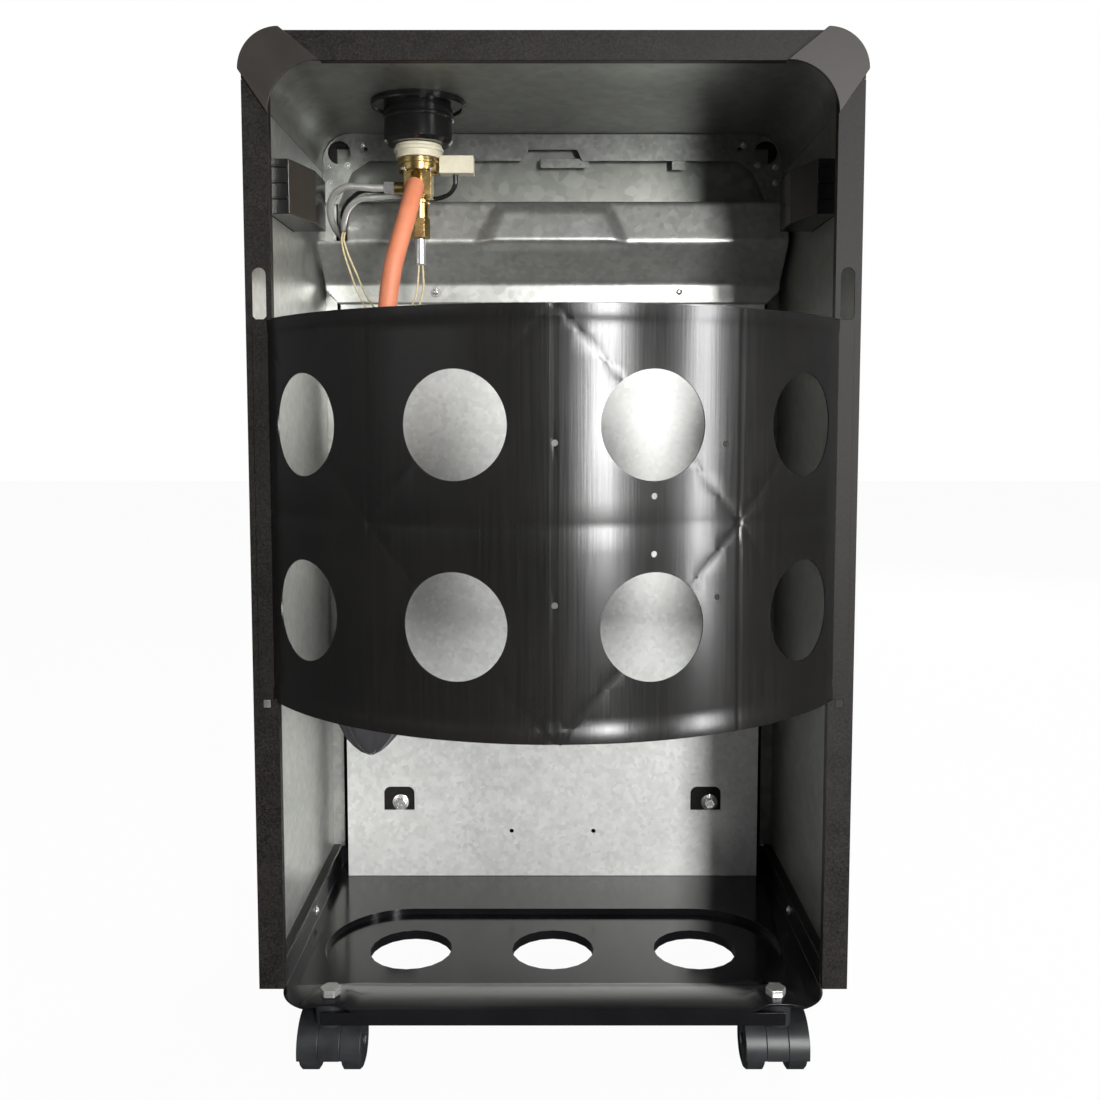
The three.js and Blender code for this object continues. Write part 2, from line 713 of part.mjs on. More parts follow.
for (const [place, x, y, rise] of casterPlaces) {
  const half = webWidth / 2 + seatGap + wheelWidth;
  const neckTop = trayUnder + rise - seatGap;
  piece("caster_hood_" + place, casterHood(x, y, neckTop), casterPlastic);
  piece("caster_wheel_a_" + place, casterWheel(x, y, -1), casterPlastic);
  piece("caster_wheel_b_" + place, casterWheel(x, y, 1), casterPlastic);
  piece(
    "caster_axle_" + place,
    bar(axleRadius - turnGap, "x", [0, y + casterTrail, wheelRadius], x - half, x + half, 12),
    steel,
  );
  piece("caster_bolt_" + place, casterBolt(x, y, neckTop), steel);
}

// ---- Firewall and heat shield ----
/** The plate that parts the bottle side from the burner side, with two windows and two pinholes. */
function firewall() {
  const foot = trayDeck + seatGap;
  const top = cabinetTop - firewallTop;
  const plate = block([-firewallHalf, firewallHalf], [firewallY, firewallY + cabinetSheet], [foot, top]);
  const flanges = [-1, 1].map((hand) =>
    block(
      [hand * (firewallHalf - cabinetSheet), hand * firewallHalf],
      [firewallY, firewallY + firewallFlange], [foot, top],
    ),
  );
  const windows = [-windowX, windowX].map((x) => {
    const middle = cabinetFoot + windowZ;
    const [half, foot2, head] = [windowWidth / 2, middle - windowHeight / 2, middle + windowHeight / 2];
    const shape = outline([[x - half, foot2], [x + half, foot2]]);
    shape.absarc(x + half - windowRadius, head - windowRadius, windowRadius, 0, Math.PI / 2);
    shape.absarc(x - half + windowRadius, head - windowRadius, windowRadius, Math.PI / 2, Math.PI);
    return prism(shape, "y", firewallY - cutOver, firewallY + cabinetSheet + cutOver, 5);
  });
  const pinholes = [-pinholeX, pinholeX].map((x) =>
    bar(
      pinholeRadius, "y", [x, 0, cabinetFoot + pinholeZ],
      firewallY - cutOver, firewallY + cabinetSheet + cutOver, 10,
    ),
  );
  return cut(join(plate, ...flanges), ...windows, ...pinholes);
}

/** The folded shield above the firewall, with a pressed-out panel and a notch for the tubes. */
function heatShield() {
  const half = side - shieldInset;
  const lowerY = shieldBack - cabinetSheet / 2;
  const faceY = noseY + shieldSetback;
  const reach = front - railSetback - seatGap;
  const line = [
    [lowerY, shieldFoot], [lowerY, shieldFoot + shieldFlange], [noseY, noseZ],
    [faceY, faceTop], [reach, faceTop + railNotchTaper],
  ];
  const sheetMetal = prism(folded(line, cabinetSheet), "x", -half, half);
  const emboss = outline([
    [-embossHalf, noseZ + 2], [embossHalf, noseZ + 2],
    [embossHalf - embossTaper, faceTop - 2], [-embossHalf + embossTaper, faceTop - 2],
  ]);
  const raised = prism(emboss, "y", noseY - embossDepth + shieldSetback / 2, faceY);
  const notch = block(
    [-half - cutOver, -half + shieldNotch], [noseY - shieldSetback, front], [noseZ + 2, cabinetTop],
  );
  const chamfers = [-1, 1].map((hand) => {
    const corner = outline([
      [hand * (half + cutOver), shieldFoot - cutOver], [hand * (half - shieldChamfer), shieldFoot - cutOver],
      [hand * (half + cutOver), shieldFoot + shieldChamfer],
    ]);
    return prism(corner, "y", lowerY - shieldNose, front);
  });
  return cut(join(sheetMetal, raised), notch, ...chamfers);
}

/** The rail under the top panel's front, an angle with a notch in the middle of its lower edge. */
function topRail() {
  const top = innerTop - seatGap;
  const foot = top - railDrop;
  const back = front - railSetback;
  const web = block([-railHalf, railHalf], [back, back + cabinetSheet], [foot, top]);
  const angle = block(
    [-railHalf, railHalf], [back, front - cabinetSheet - seatGap], [top - cabinetSheet, top],
  );
  const notch = outline([
    [-railNotchHalf, foot - cutOver], [railNotchHalf, foot - cutOver],
    [railNotchHalf - railNotchTaper, foot + railNotchHeight],
    [-railNotchHalf + railNotchTaper, foot + railNotchHeight],
  ]);
  return cut(join(web, angle), prism(notch, "y", back - cutOver, back + cabinetSheet + cutOver));
}

/** A flat bracket in an upper front corner, with a leg towards the shield, an opening and a hole. */
function cornerBracket(hand) {
  const top = innerTop - seatGap;
  const outer = innerSide - seatGap;
  const back = front - railSetback - seatGap - cabinetSheet;
  const foot = top - bracketHeight;
  const plan = outline([
    [outer, foot], [outer, top - cornerRadius],
  ]);
  plan.absarc(outer - cornerRadius, top - cornerRadius, cornerRadius, 0, Math.PI / 2);
  plan.lineTo(outer - bracketReach, top);
  plan.lineTo(outer - bracketReach, top - bracketShoulder);
  plan.lineTo(outer - bracketBend, top - 2 * bracketOpening - bracketLeg);
  plan.lineTo(outer - bracketLeg, foot);
  const opening = bar(
    bracketOpening, "y", [outer - bracketLeg - 1, 0, top - bracketShoulder + 1], back - cutOver,
    back + cabinetSheet + cutOver, 16,
  );
  const hole = bar(
    bracketHole, "y", [outer - 1.5 * bracketBend, 0, top - bracketLeg], back - cutOver,
    back + cabinetSheet + cutOver, 10,
  );
  const plate = cut(prism(plan, "y", back, back + cabinetSheet, 8), opening, hole);
  return hand > 0 ? plate : plate.mirror([1, 0, 0]);
}

piece("firewall", firewall(), galvanised);
piece("heat_shield", heatShield(), galvanised);
piece("top_rail", topRail(), galvanised);
piece("bracket_left", cornerBracket(-1), galvanised);
piece("bracket_right", cornerBracket(1), galvanised);

// ---- Bottle cover ----
/** The curved band with its eight windows and the four hooks that hang in the keyholes. */
function bottleCover() {
  const axisY = rear - seatGap + (coverRadius - coverSheet) * Math.cos(radians(coverHalfAngle));
  const top = coverBottom + coverHeight;
  const start = radians(-90 - coverHalfAngle);
  const end = radians(-90 + coverHalfAngle);
  const plan = new THREE.Shape();
  plan.absarc(0, axisY, coverRadius, start, end);
  plan.absarc(0, axisY, coverRadius - coverSheet, end, start, true);
  const band = prism(plan, "z", coverBottom, top, coverSegments);
  const windows = [];
  const outerHole = radians(coverHalfAngle) * coverRadius - coverOuterHole;
  for (const along of [-outerHole, -coverInnerHole, coverInnerHole, outerHole]) {
    for (const row of [-1, 1]) {
      const z = coverBottom + coverRowHeight + (row * coverRowPitch) / 2;
      const round = new THREE.CylinderGeometry(coverHole / 2, coverHole / 2, coverRadius / 3, 18);
      const turn = along / coverRadius;
      round.translate(0, -coverRadius, 0).rotateZ(turn).translate(0, axisY, z);
      windows.push(solid(round));
    }
  }
  const lipRear = rear - seatGap - coverSheet;
  const headStart = rear + cabinetSheet + seatGap;
  const edges = [];
  for (const hand of [-1, 1]) {
    const across = (inner, outer) => [hand * (hookX - inner), hand * (hookX + outer)];
    edges.push(block(across(lipInner, lipOuter), [lipRear, rear - seatGap], [coverBottom, top]));
    for (const foot of [coverBottom, coverBottom + upperHook]) {
      const height = [foot, foot + hookHeight];
      edges.push(
        block(across(hookStem / 2, hookStem / 2), [lipRear, rear + hookReach], height),
        block(across(hookHead / 2, hookHead / 2), [headStart, headStart + coverSheet], height),
      );
    }
  }
  return join(cut(band, ...windows), ...edges);
}
piece("bottle_cover", bottleCover(), enamel);

// ---- Burner side ----
/** A shallow pan, open at its back: a face with a rim turned back all round. */
function facePan(outer, yBack) {
  const [x0, x1, z0, z1] = outer;
  const yFace = yBack + frameDepth;
  const inner = [x0 + frameWall, x1 - frameWall];
  return cut(
    block([x0, x1], [yBack, yFace], [z0, z1]),
    block(inner, [yBack - cutOver, yFace - frameWall], [z0 + frameWall, z1 - frameWall]),
  );
}

/** The front frame round the burner. */
function frontFrame() {
  const half = side - frameInset;
  const back = front + seatGap;
  const pan = facePan([-half, half, panelSplit, cabinetTop - frameInset], back);
  const sleeveDepth = [front - frameReturn, back + frameDepth];
  const sleeve = block(
    [-openingHalf - frameWall, openingHalf + frameWall], sleeveDepth,
    [openingBottom - frameWall, openingTop + frameWall],
  );
  const opening = block(
    [-openingHalf, openingHalf], [sleeveDepth[0] - cutOver, sleeveDepth[1] + cutOver],
    [openingBottom, openingTop],
  );
  return cut(join(pan, sleeve), opening);
}

/** The lower front panel with two ears that reach back to the firewall's windows. */
function frontLowerPanel() {
  const half = side - frameInset;
  const back = front + seatGap;
  const pan = facePan([-half, half, trayDeck, panelSplit - panelJoint], back);
  const earBack = firewallY + cabinetSheet + seatGap;
  const middle = cabinetFoot + windowZ;
  const ears = [-windowX, windowX].flatMap((x) => [
    block(
      [x - earWidth / 2, x + earWidth / 2], [earBack, earBack + frameWall],
      [middle - earHeight / 2, middle + earHeight / 2],
    ),
    block(
      [x - earWidth / 2, x + earWidth / 2], [earBack, back + frameDepth - frameWall / 2],
      [middle - earHeight / 2, middle - earHeight / 2 + frameWall],
    ),
  ]);
  return join(pan, ...ears);
}

/** The burner's housing: a pan open to the front with three plenums and holes for the two tubes. */
function burnerHousing() {
  const half = openingHalf - seatGap;
  const back = firewallY + housingBack;
  const z = [openingBottom + seatGap, openingTop - seatGap];
  const shell = cut(
    block([-half, half], [back, front], z),
    block(
      [-half + housingSheet, half - housingSheet], [back + housingSheet, front + cutOver],
      [z[0] + housingSheet, z[1] - housingSheet],
    ),
  );
  const plenums = [-1, 0, 1].map((step) => {
    const half = plaqueWidth / 2 - plenumEdge;
    return block(
      [step * plaquePitch - half, step * plaquePitch + half], [back, plenumFront],
      [plaqueFoot + plenumEdge, plaqueFoot + plaqueHeight - plenumEdge],
    );
  });
  const holes = [feedEntry, pilotEntry, cableEntry].map(([y, height]) =>
    bar(feedRadius + 1, "x", [0, y, height], -half - cutOver, -half + housingSheet + cutOver, 12),
  );
  return cut(join(shell, ...plenums), ...holes);
}

/** The burner's gas pipe with a mixing tube up to each plenum. */
function gasManifold() {
  const z = openingBottom + manifoldHeight;
  const reach = plaquePitch + manifoldOver;
  const pipe = bar(manifoldRadius, "x", [0, manifoldY, z], -reach, reach, 16);
  const venturis = [-1, 0, 1].map((step) =>
    bar(venturiRadius, "z", [step * plaquePitch, manifoldY, 0], z, plaqueFoot - seatGap, 16),
  );
  return join(pipe, ...venturis);
}

/** The pilot: a burner tube with a bent hood, in front of the middle plaque's foot. */
function pilotBurner() {
  const foot = plaqueFoot - pilotHeight;
  const top = plaqueFoot - seatGap;
  const tubeShape = bar(pilotRadius, "z", [pilotX, pilotY, 0], foot, top, 12);
  const hood = block(
    [pilotX - pilotHoodHalf, pilotX + pilotHoodHalf], [pilotY - 1, pilotY + pilotHoodDepth],
    [top - pilotSheet, top],
  );
  const shelf = block(
    [pilotX - pilotShelfHalf, pilotX + pilotShelfHalf],
    [pilotY - pilotShelfDepth, pilotY + pilotShelfDepth], [foot, foot + pilotSheet],
  );
  return join(tubeShape, hood, shelf);
}

/** The wire guard over the opening: upright wires, cross wires and feet on the frame's face. */
function wireGuard() {
  const start = front + seatGap + frameDepth + guardStand;
  const depth = [start, start + guardWire];
  const half = openingHalf + guardOver;
  const z = [openingBottom - guardOver, openingTop + guardOver];
  const bars = [];
  for (let i = 0; i < guardBars; i += 1) {
    const x = -half + (i * (2 * half - guardWire)) / (guardBars - 1);
    bars.push(block([x, x + guardWire], depth, z));
  }
  for (let i = 0; i < guardCross + 2; i += 1) {
    const foot = z[0] + (i * (z[1] - z[0] - guardWire)) / (guardCross + 1);
    bars.push(block([-half, half], depth, [foot, foot + guardWire]));
  }
  const feet = [-1, 1].flatMap((hand) =>
    z.map((end) => {
      const near = end === z[0] ? end : end - guardFeet;
      return block(
        [hand * (half - guardWire), hand * half], [start - guardStand + seatGap, start + guardWire],
        [near, near + guardFeet],
      );
    }),
  );
  return join(...bars, ...feet);
}

const manifoldY = firewallY + housingBack + housingSheet + seatGap + venturiRadius;
const pilotY = front - pilotRadius;
const feedEntry = [manifoldY, openingBottom + manifoldHeight];
const pilotEntry = [pilotY, plaqueFoot - pilotHeight - pilotTubeDrop];
const cableEntry = [pilotY, plaqueFoot - pilotHeight + cableRise];

piece("front_frame", frontFrame(), powderCoat);
piece("front_lower_panel", frontLowerPanel(), powderCoat);
piece("burner_housing", burnerHousing(), galvanised);
for (const [word, step] of [["left", -1], ["middle", 0], ["right", 1]]) {
  const x = step * plaquePitch;
  const plaque = block(
    [x - plaqueWidth / 2, x + plaqueWidth / 2], [plenumFront + seatGap, plenumFront + seatGap + plaqueThick],
    [plaqueFoot, plaqueFoot + plaqueHeight],
  );
  piece("ceramic_plaque_" + word, plaque, ceramic);
}
piece("gas_manifold", gasManifold(), steel);
piece("pilot_burner", pilotBurner(), brass);
piece("wire_guard", wireGuard(), steel);

// ---- Gas control ----
/** The black cup the control knob turns in, with its flange under the top panel. */
function controlBezel() {
  const rim = cabinetTop + bezelRim;
  const flangeTop = innerTop - seatGap;
  const cup = turned(
    [
      [0, bezelFloor], [bezelRadius - 3, bezelFloor], [bezelRadius, bezelFloor + 3],
      [bezelRadius, rim], [bezelRadius - bezelWall, rim], [bezelRadius - bezelWall, bezelFloor + bezelWall],
      [0, bezelFloor + bezelWall],
    ],
    controlX, controlDepth, 24,
  );
  const flange = bar(
    bezelFlange, "z", [controlX, controlDepth, 0], flangeTop - bezelFlangeThick, flangeTop, 24,
  );
  const inside = bar(
    bezelRadius - bezelWall, "z", [controlX, controlDepth, 0], bezelFloor + bezelWall, rim + cutOver, 24,
  );
  const neck = bore(
    spindleRadius + turnGap, "z", [controlX, controlDepth, 0],
    bezelFloor - cutOver, bezelFloor + bezelWall + cutOver,
  );
  return cut(join(cup, flange), inside, neck);
}

/** The knob: a skirt, a ribbed grip and a pointer, with a blind bore for the spindle. */
function controlKnob() {
  const foot = bezelFloor + bezelWall + knobFoot;
  const top = cabinetTop + knobRise;
  const grip = turned(
    [
      [0, foot], [knobRadius, foot], [knobRadius, foot + knobSkirt],
      [knobRadius - 2, foot + knobSkirt + 2], [gripRadius, top - 2], [gripRadius - 2, top], [0, top],
    ],
    controlX, controlDepth, 20,
  );
  const ribs = [];
  for (let i = -knobMarks; i <= knobMarks; i += 1) {
    const angle = (i * Math.PI) / (knobMarks + 1);
    const x = controlX + Math.sin(angle) * gripRadius;
    const y = controlDepth + Math.cos(angle) * gripRadius;
    ribs.push(bar(knobRib, "z", [x, y, 0], foot + knobSkirt, top - 3, 6));
  }
  const pointer = block(
    [controlX - knobRib, controlX + knobRib], [controlDepth - gripRadius, controlDepth - spindleRadius],
    [top - 2, top + 1],
  );
  const socket = bore(
    spindleRadius + turnGap, "z", [controlX, controlDepth, 0], foot - cutOver, foot + knobBore + seatGap,
  );
  return cut(join(grip, ...ribs, pointer), socket);
}

/** The brass valve: a round plate, a square body, the tube outlet and the slanted hose spud. */
function valveBody() {
  const foot = valveTop - valveHeight;
  const plate = bar(brassRadius, "z", [controlX, controlDepth, 0], valveTop - cutOver, brassTop, 20);
  const body = block(
    [controlX - valveHalf, controlX + valveHalf], [controlDepth - valveHalf, controlDepth + valveHalf + 1],
    [foot, valveTop],
  );
  const outlet = bar(
    outletRadius, "x", [0, controlDepth, outletZ],
    controlX - valveHalf - outletReach, controlX, 14,
  );
  const alongSpud = (distance) => hoseRoute[0].map((value, i) => value - hoseDirection[i] * distance);
  const spud = tube([alongSpud(spudLength), alongSpud(seatGap)], spudRadius, 10, 1);
  const socket = bore(
    spindleRadius + turnGap, "z", [controlX, controlDepth, 0], brassTop - spindleSocket, brassTop + cutOver,
  );
  return cut(join(plate, body, outlet, spud), socket);
}

/** The nylon collar between the cup and the brass plate, with a bore for the spindle. */
function valveCollar() {
  const centre = [controlX, controlDepth, 0];
  return cut(
    bar(collarRadius, "z", centre, collarTop - collarHeight, collarTop, 20),
    bore(spindleRadius + turnGap, "z", centre, collarTop - collarHeight - cutOver, collarTop + cutOver),
  );
}

/** The ignition switch: a box with a fork round the collar's right side. */
function ignitionSwitch() {
  const start = controlX + brassRadius + seatGap;
  const top = collarTop - collarHeight + 2;
  const boxShape = block(
    [start, start + switchLength], [controlDepth - switchDepth / 2, controlDepth + switchDepth / 2],
    [top - switchHeight, top],
  );
  const collar = bar(
    collarRadius + seatGap, "z", [controlX, controlDepth, 0],
    collarTop - collarHeight - seatGap, collarTop, 20,
  );
  return cut(boxShape, collar);
}

/** A hexagon nut along X with a bore that clears the tube in it. */
function tubeNut() {
  const end = controlX - valveHalf - outletReach - seatGap;
  const centre = [0, controlDepth, outletZ];
  const hex = prism(hexagon(nutFlats, controlDepth, outletZ), "x", end - nutLength, end);
  return cut(hex, bar(feedRadius + seatGap, "x", centre, end - nutLength - cutOver, end + cutOver, 16));
}

// ---- Routes of the hose, tubes and wires ----
/** A point of a route, its depth counted from the cabinet's rear and its height down from the top. */
function inCabinet([x, distance, drop]) {
  return [x, fromRear(distance), cabinetTop - drop];
}

const hoseDirection = [0, -Math.SQRT1_2, -Math.SQRT1_2];
const hoseRoute = [
  [controlX - 1, 144, 72], [controlX - 1, 141, 75], [controlX - 1.8, 133.5, 82.7],
  [controlX - 4.5, 124, 98], [controlX - 9.2, 117, 118], [controlX - 14.5, 112, 140],
  [controlX - 18.5, 110, 167], [regulatorX + 15.5, 109, 200], [regulatorX + 12.5, 109, 235],
  [regulatorX + 9, 109.5, 270], [regulatorX + 6, 111, 305], [regulatorX + 3.5, 113, 340],
  [regulatorX + 1.5, 115, 375], [regulatorX + 0.3, 116.5, 400],
  [regulatorX, regulatorY, cabinetTop - hoseEnd],
].map(inCabinet);

// The tubes and the cable run down between the burner's housing and the firewall's left flange.
const feedDuct = -openingHalf - 14.5;
const pilotDuct = -openingHalf - 8.7;
const cableDuct = -openingHalf - 21;
const [feedY, feedZ] = feedEntry;
const [pilotEntryY, pilotZ] = pilotEntry;
const [cableY, cableZ] = cableEntry;
const valveLeft = controlX - valveHalf;
const interrupterTop = valveTop - valveHeight - seatGap;
const interrupterFoot = interrupterTop - interrupterBody - interrupterNut - interrupterTip - seatGap;
const feedRoute = [
  [valveLeft - outletReach - 2 * seatGap, controlDepth, outletZ],
  [controlX - 30, controlDepth, outletZ],
  ...[
    [controlX - 37, 165.5, 70], [52 - side, 169, 68.5], [38 - side, 176.5, 67], [26 - side, 187, 71],
    [20 - side, 198, 81], [20 - side, 212, 92], [24 - side, 230, 99],
  ].map(inCabinet),
  [feedDuct - 1.5, firewallY + 6, cabinetTop - 105], [feedDuct, firewallY + 12, cabinetTop - 122],
  [feedDuct, firewallY + 12, cabinetTop - 180], [feedDuct, firewallY + 12, feedZ + 70],
  [feedDuct, feedY - 1, feedZ + 20], [feedDuct + 4, feedY, feedZ + 5],
  [feedDuct + 14, feedY, feedZ], [feedDuct + feedEntryRun, feedY, feedZ],
  [-plaquePitch - manifoldOver - seatGap, feedY, feedZ],
];
const pilotRoute = [
  [valveLeft - seatGap, controlDepth + valveHalf - 1.5, outletZ - 3.5],
  ...[
    [controlX - 24, 174.5, 74.5], [controlX - 40, 177, 75.5], [48 - side, 182, 76],
    [38 - side, 190, 81], [32 - side, 200, 89], [29 - side, 212, 96.5], [29.5 - side, 228, 99],
  ].map(inCabinet),
  [pilotDuct - 1, firewallY + 5, cabinetTop - 102], [pilotDuct, firewallY + 14, cabinetTop - 112],
  [pilotDuct, firewallY + 16, cabinetTop - 140], [pilotDuct, firewallY + 16, cabinetTop - 210],
  [pilotDuct, firewallY + 16, pilotZ + 42],
  [pilotDuct, firewallY + 17, pilotZ + 16], [pilotDuct + 2, pilotEntryY - 4, pilotZ + 4],
  [pilotDuct + 7, pilotEntryY, pilotZ], [pilotDuct + 25, pilotEntryY, pilotZ],
  [pilotX - 50, pilotEntryY, pilotZ - 4], [pilotX - 14, pilotEntryY, pilotZ - 6],
  [pilotX - 5, pilotEntryY, pilotZ - 4], [pilotX - 0.5, pilotEntryY, pilotZ + 1],
  [pilotX, pilotEntryY, pilotZ + 7], [pilotX, pilotEntryY, pilotZ + pilotTubeDrop - 1.5 * seatGap],
];
const cableRoute = [
  [controlX + 30, controlDepth, collarTop - collarHeight + 2 - switchHeight - seatGap],
  ...[
    [controlX + 29.8, 165.5, 67], [controlX + 26, 169, 73], [controlX + 16, 177, 76],
    [controlX + 2, 184, 75.5], [controlX - 16, 184.5, 73], [controlX - 36, 184.5, 68.5],
    [50 - side, 187, 68], [40 - side, 194, 72], [32 - side, 203, 78], [28 - side, 212, 84],
    [28 - side, 224, 88],
  ].map(inCabinet),
  [cableDuct + 5, firewallY, cabinetTop - 90], [cableDuct + 4, firewallY + 14, cabinetTop - 94],
  [cableDuct + 1, firewallY + 21, cabinetTop - 108], [cableDuct, firewallY + 22, cabinetTop - 140],
  [cableDuct, firewallY + 22, cabinetTop - 200], [cableDuct, firewallY + 22, cableZ + 30],
  [cableDuct + 1.5, cableY - 1.5, cableZ + 10], [cableDuct + 7, cableY, cableZ + 1.5],
  [cableDuct + 18, cableY, cableZ], [pilotX - 58, cableY, cableZ],
  [pilotX - pilotRadius - seatGap, cableY, cableZ],
];

/** One of the interrupter's two leads; each hangs in its own loop to the tubes at the notch. */
function leadRoute(shift, sag) {
  return [
    [controlX + shift, controlDepth + interrupterY, interrupterFoot - seatGap],
    ...[
      [controlX + shift * 1.3, 172, 140], [controlX - 0.5 + shift * 1.6, 172, 150],
      [controlX - 4 + shift, 172, 161 + sag], [controlX - 14, 175, 170 + sag],
      [controlX - 28, 181, 173 + sag], [controlX - 42 - shift, 188, 166 + sag],
      [47 - side - shift * 1.5, 194, 152 + sag / 2], [39 - side - shift * 1.5, 198, 134],
      [33 - side - shift, 199, 118], [30 - side - shift * 0.6, 201, 106],
      [30 - side - shift * 0.6, 205, 100.7], [30 - side - shift * 0.6, 208.5, 99],
    ].map(inCabinet),
  ];
}

/** The regulator: a round body on its outlet nozzle. */
function regulator() {
  const top = hoseEnd - seatGap;
  const bodyTop = top - nozzleHeight;
  const foot = bodyTop - regulatorHeight;
  return turned(
    [
      [0, foot], [regulatorRadius - 8, foot], [regulatorRadius - 6, foot + 12],
      [regulatorRadius, foot + 14], [regulatorRadius, foot + 26], [regulatorRadius - 8, foot + 32],
      [9, bodyTop], [5, bodyTop + 4], [5, top], [0, top],
    ],
    regulatorX, fromRear(regulatorY), 14,
  );
}

/** The film bag round the regulator: gathered at the hose, wide at the body, drawn in below. */
function regulatorBag() {
  const neck = hoseRadius + 3 * seatGap;
  const mouth = hoseEnd + 10;
  const skin = [
    [bagFilm, bagBottom + 4], [14, bagBottom + 6], [24, bagBottom + 20],
    [bagRadius - bagFilm, bagBottom + 46], [bagRadius - 4, bagBottom + 70],
    [20, hoseEnd - 19], [neck, hoseEnd - 8], [neck, mouth],
  ];
  const outer = skin.map(([radius, z], i) => [radius + bagFilm, i < 2 ? z - bagFilm * 3 : z]);
  return turned(
    [[0, bagBottom], ...outer, ...skin.reverse(), [0, bagBottom + 4]],
    regulatorX, fromRear(regulatorY), 14,
  );
}

/** The interrupter's brass barrel with its hexagon end. */
function interrupterBarrel() {
  const x = controlX;
  const y = controlDepth + interrupterY;
  const nutTop = interrupterTop - interrupterBody;
  const barrel = bar(interrupterRadius, "z", [x, y, 0], nutTop - 1, interrupterTop, 20);
  return join(barrel, prism(hexagon(interrupterFlats, x, y), "z", nutTop - interrupterNut, nutTop));
}

piece("control_bezel", controlBezel(), blackPlastic);
piece("control_knob", controlKnob(), blackPlastic);
piece(
  "valve_spindle",
  bar(
    spindleRadius, "z", [controlX, controlDepth, 0],
    brassTop - spindleSocket + knobPush + seatGap, bezelFloor + bezelWall + knobFoot + knobBore, 12,
  ),
  steel,
);
piece("valve_collar", valveCollar(), nylon);
piece("valve_body", valveBody(), brass);
piece("ignition_switch", ignitionSwitch(), nylon);
piece("tube_nut", tubeNut(), steel);
piece("interrupter_barrel", interrupterBarrel(), brass);
piece(
  "interrupter_tip",
  bar(
    tipRadius, "z", [controlX, controlDepth + interrupterY, 0],
    interrupterFoot, interrupterFoot + interrupterTip, 16,
  ),
  steel,
);
piece("gas_hose", tube(hoseRoute, hoseRadius, 10, 18), hoseRubber);
piece("regulator", regulator(), aluminium);
piece("regulator_bag", regulatorBag(), bagPlastic);
piece("feed_tube", tube(feedRoute, feedRadius, 8, 32), aluminium);
piece("pilot_tube", tube(pilotRoute, pilotTubeRadius, 8, 40), aluminium);
piece("ignition_cable", tube(cableRoute, cableRadius, 8, 34), blackPlastic);
piece("interrupter_lead_a", tube(leadRoute(-1.6, 0), leadRadius, 8, 18), leadSleeve);
piece("interrupter_lead_b", tube(leadRoute(1.6, 5), leadRadius, 8, 18), leadSleeve);

export default heater;
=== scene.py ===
"""Looks of a portable gas cabinet heater, seen from its open bottle side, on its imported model."""

import json
import logging
import math
from dataclasses import dataclass
from enum import Enum
from typing import Callable, Iterable, Sequence

import bmesh
import bpy
from mathutils import Matrix, Vector, noise


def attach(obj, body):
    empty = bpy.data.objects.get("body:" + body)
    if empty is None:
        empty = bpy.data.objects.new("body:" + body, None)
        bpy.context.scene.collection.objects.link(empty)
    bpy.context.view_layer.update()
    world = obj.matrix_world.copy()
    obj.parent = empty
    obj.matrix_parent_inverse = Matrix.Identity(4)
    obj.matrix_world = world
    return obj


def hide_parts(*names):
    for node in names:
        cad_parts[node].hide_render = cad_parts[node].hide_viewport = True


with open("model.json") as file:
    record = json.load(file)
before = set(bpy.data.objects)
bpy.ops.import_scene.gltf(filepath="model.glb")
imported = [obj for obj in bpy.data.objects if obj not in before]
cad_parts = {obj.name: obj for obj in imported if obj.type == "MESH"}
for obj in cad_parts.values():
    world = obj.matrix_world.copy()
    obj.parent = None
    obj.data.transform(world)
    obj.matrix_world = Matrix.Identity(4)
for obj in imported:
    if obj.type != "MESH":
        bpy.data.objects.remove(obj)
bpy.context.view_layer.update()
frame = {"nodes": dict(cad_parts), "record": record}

Point = tuple[float, float, float]
Flat = tuple[float, float]
Colour = tuple[float, float, float]
Socket = bpy.types.NodeSocket

MM = 0.001
REAR = -87.885  # the cabinet's rear edge, in millimetres along Y
SIDE = 210.0  # half the cabinet's width
TOP = 740.0  # height of the cabinet's top
SHEET = 1.2  # thickness of its sheet metal
LAP = 0.3  # gap between two pieces that lie on each other
SHARP = math.radians(34)  # an edge that turns by more than this shades and bevels as an edge
HANDS = ((-1, "left"), (1, "right"))
BODY_OF: dict[str, str] = {
    node: body for body, nodes in frame["record"]["behaviour"]["bodies"].items() for node in nodes
}
log = logging.getLogger("heater")


def spot(x: float, depth: float, z: float) -> Vector:
    """A place in metres, from millimetres with the depth counted from the cabinet's rear."""
    return Vector((x, REAR + depth, z)) * MM


# ---- Finishes ----
def add_node(
    tree: bpy.types.NodeTree,
    kind: str,
    values: dict[str, object] | None = None,
    links: dict[str | int, Socket] | None = None,
) -> bpy.types.Node:
    """Adds a shader node.

    Args:
        tree: The node tree of a material or of the world.
        kind: The node's kind, without the words ShaderNode.
        values: Values of its inputs.
        links: Sockets that feed its inputs, by name or by number.

    Returns:
        The node.
    """
    node = tree.nodes.new("ShaderNode" + kind)
    for name, value in (values or {}).items():
        node.inputs[name].default_value = value
    for key, source in (links or {}).items():
        tree.links.new(source, node.inputs[key])
    return node


class Pattern(Enum):
    """How a finish varies over a surface."""

    CLOUDY = "soft patches under a fine grain"
    SPECKLED = "small pale flecks in a dark powder"
    SPANGLED = "zinc crystals of a hot-dip sheet"
    BRUSHED = "faint upright lines"
    BRAIDED = "crossing threads"
    # the drilled pattern darkens each hole's middle: painted shade in holes that are only a bump
    DRILLED = "close rows of small holes"


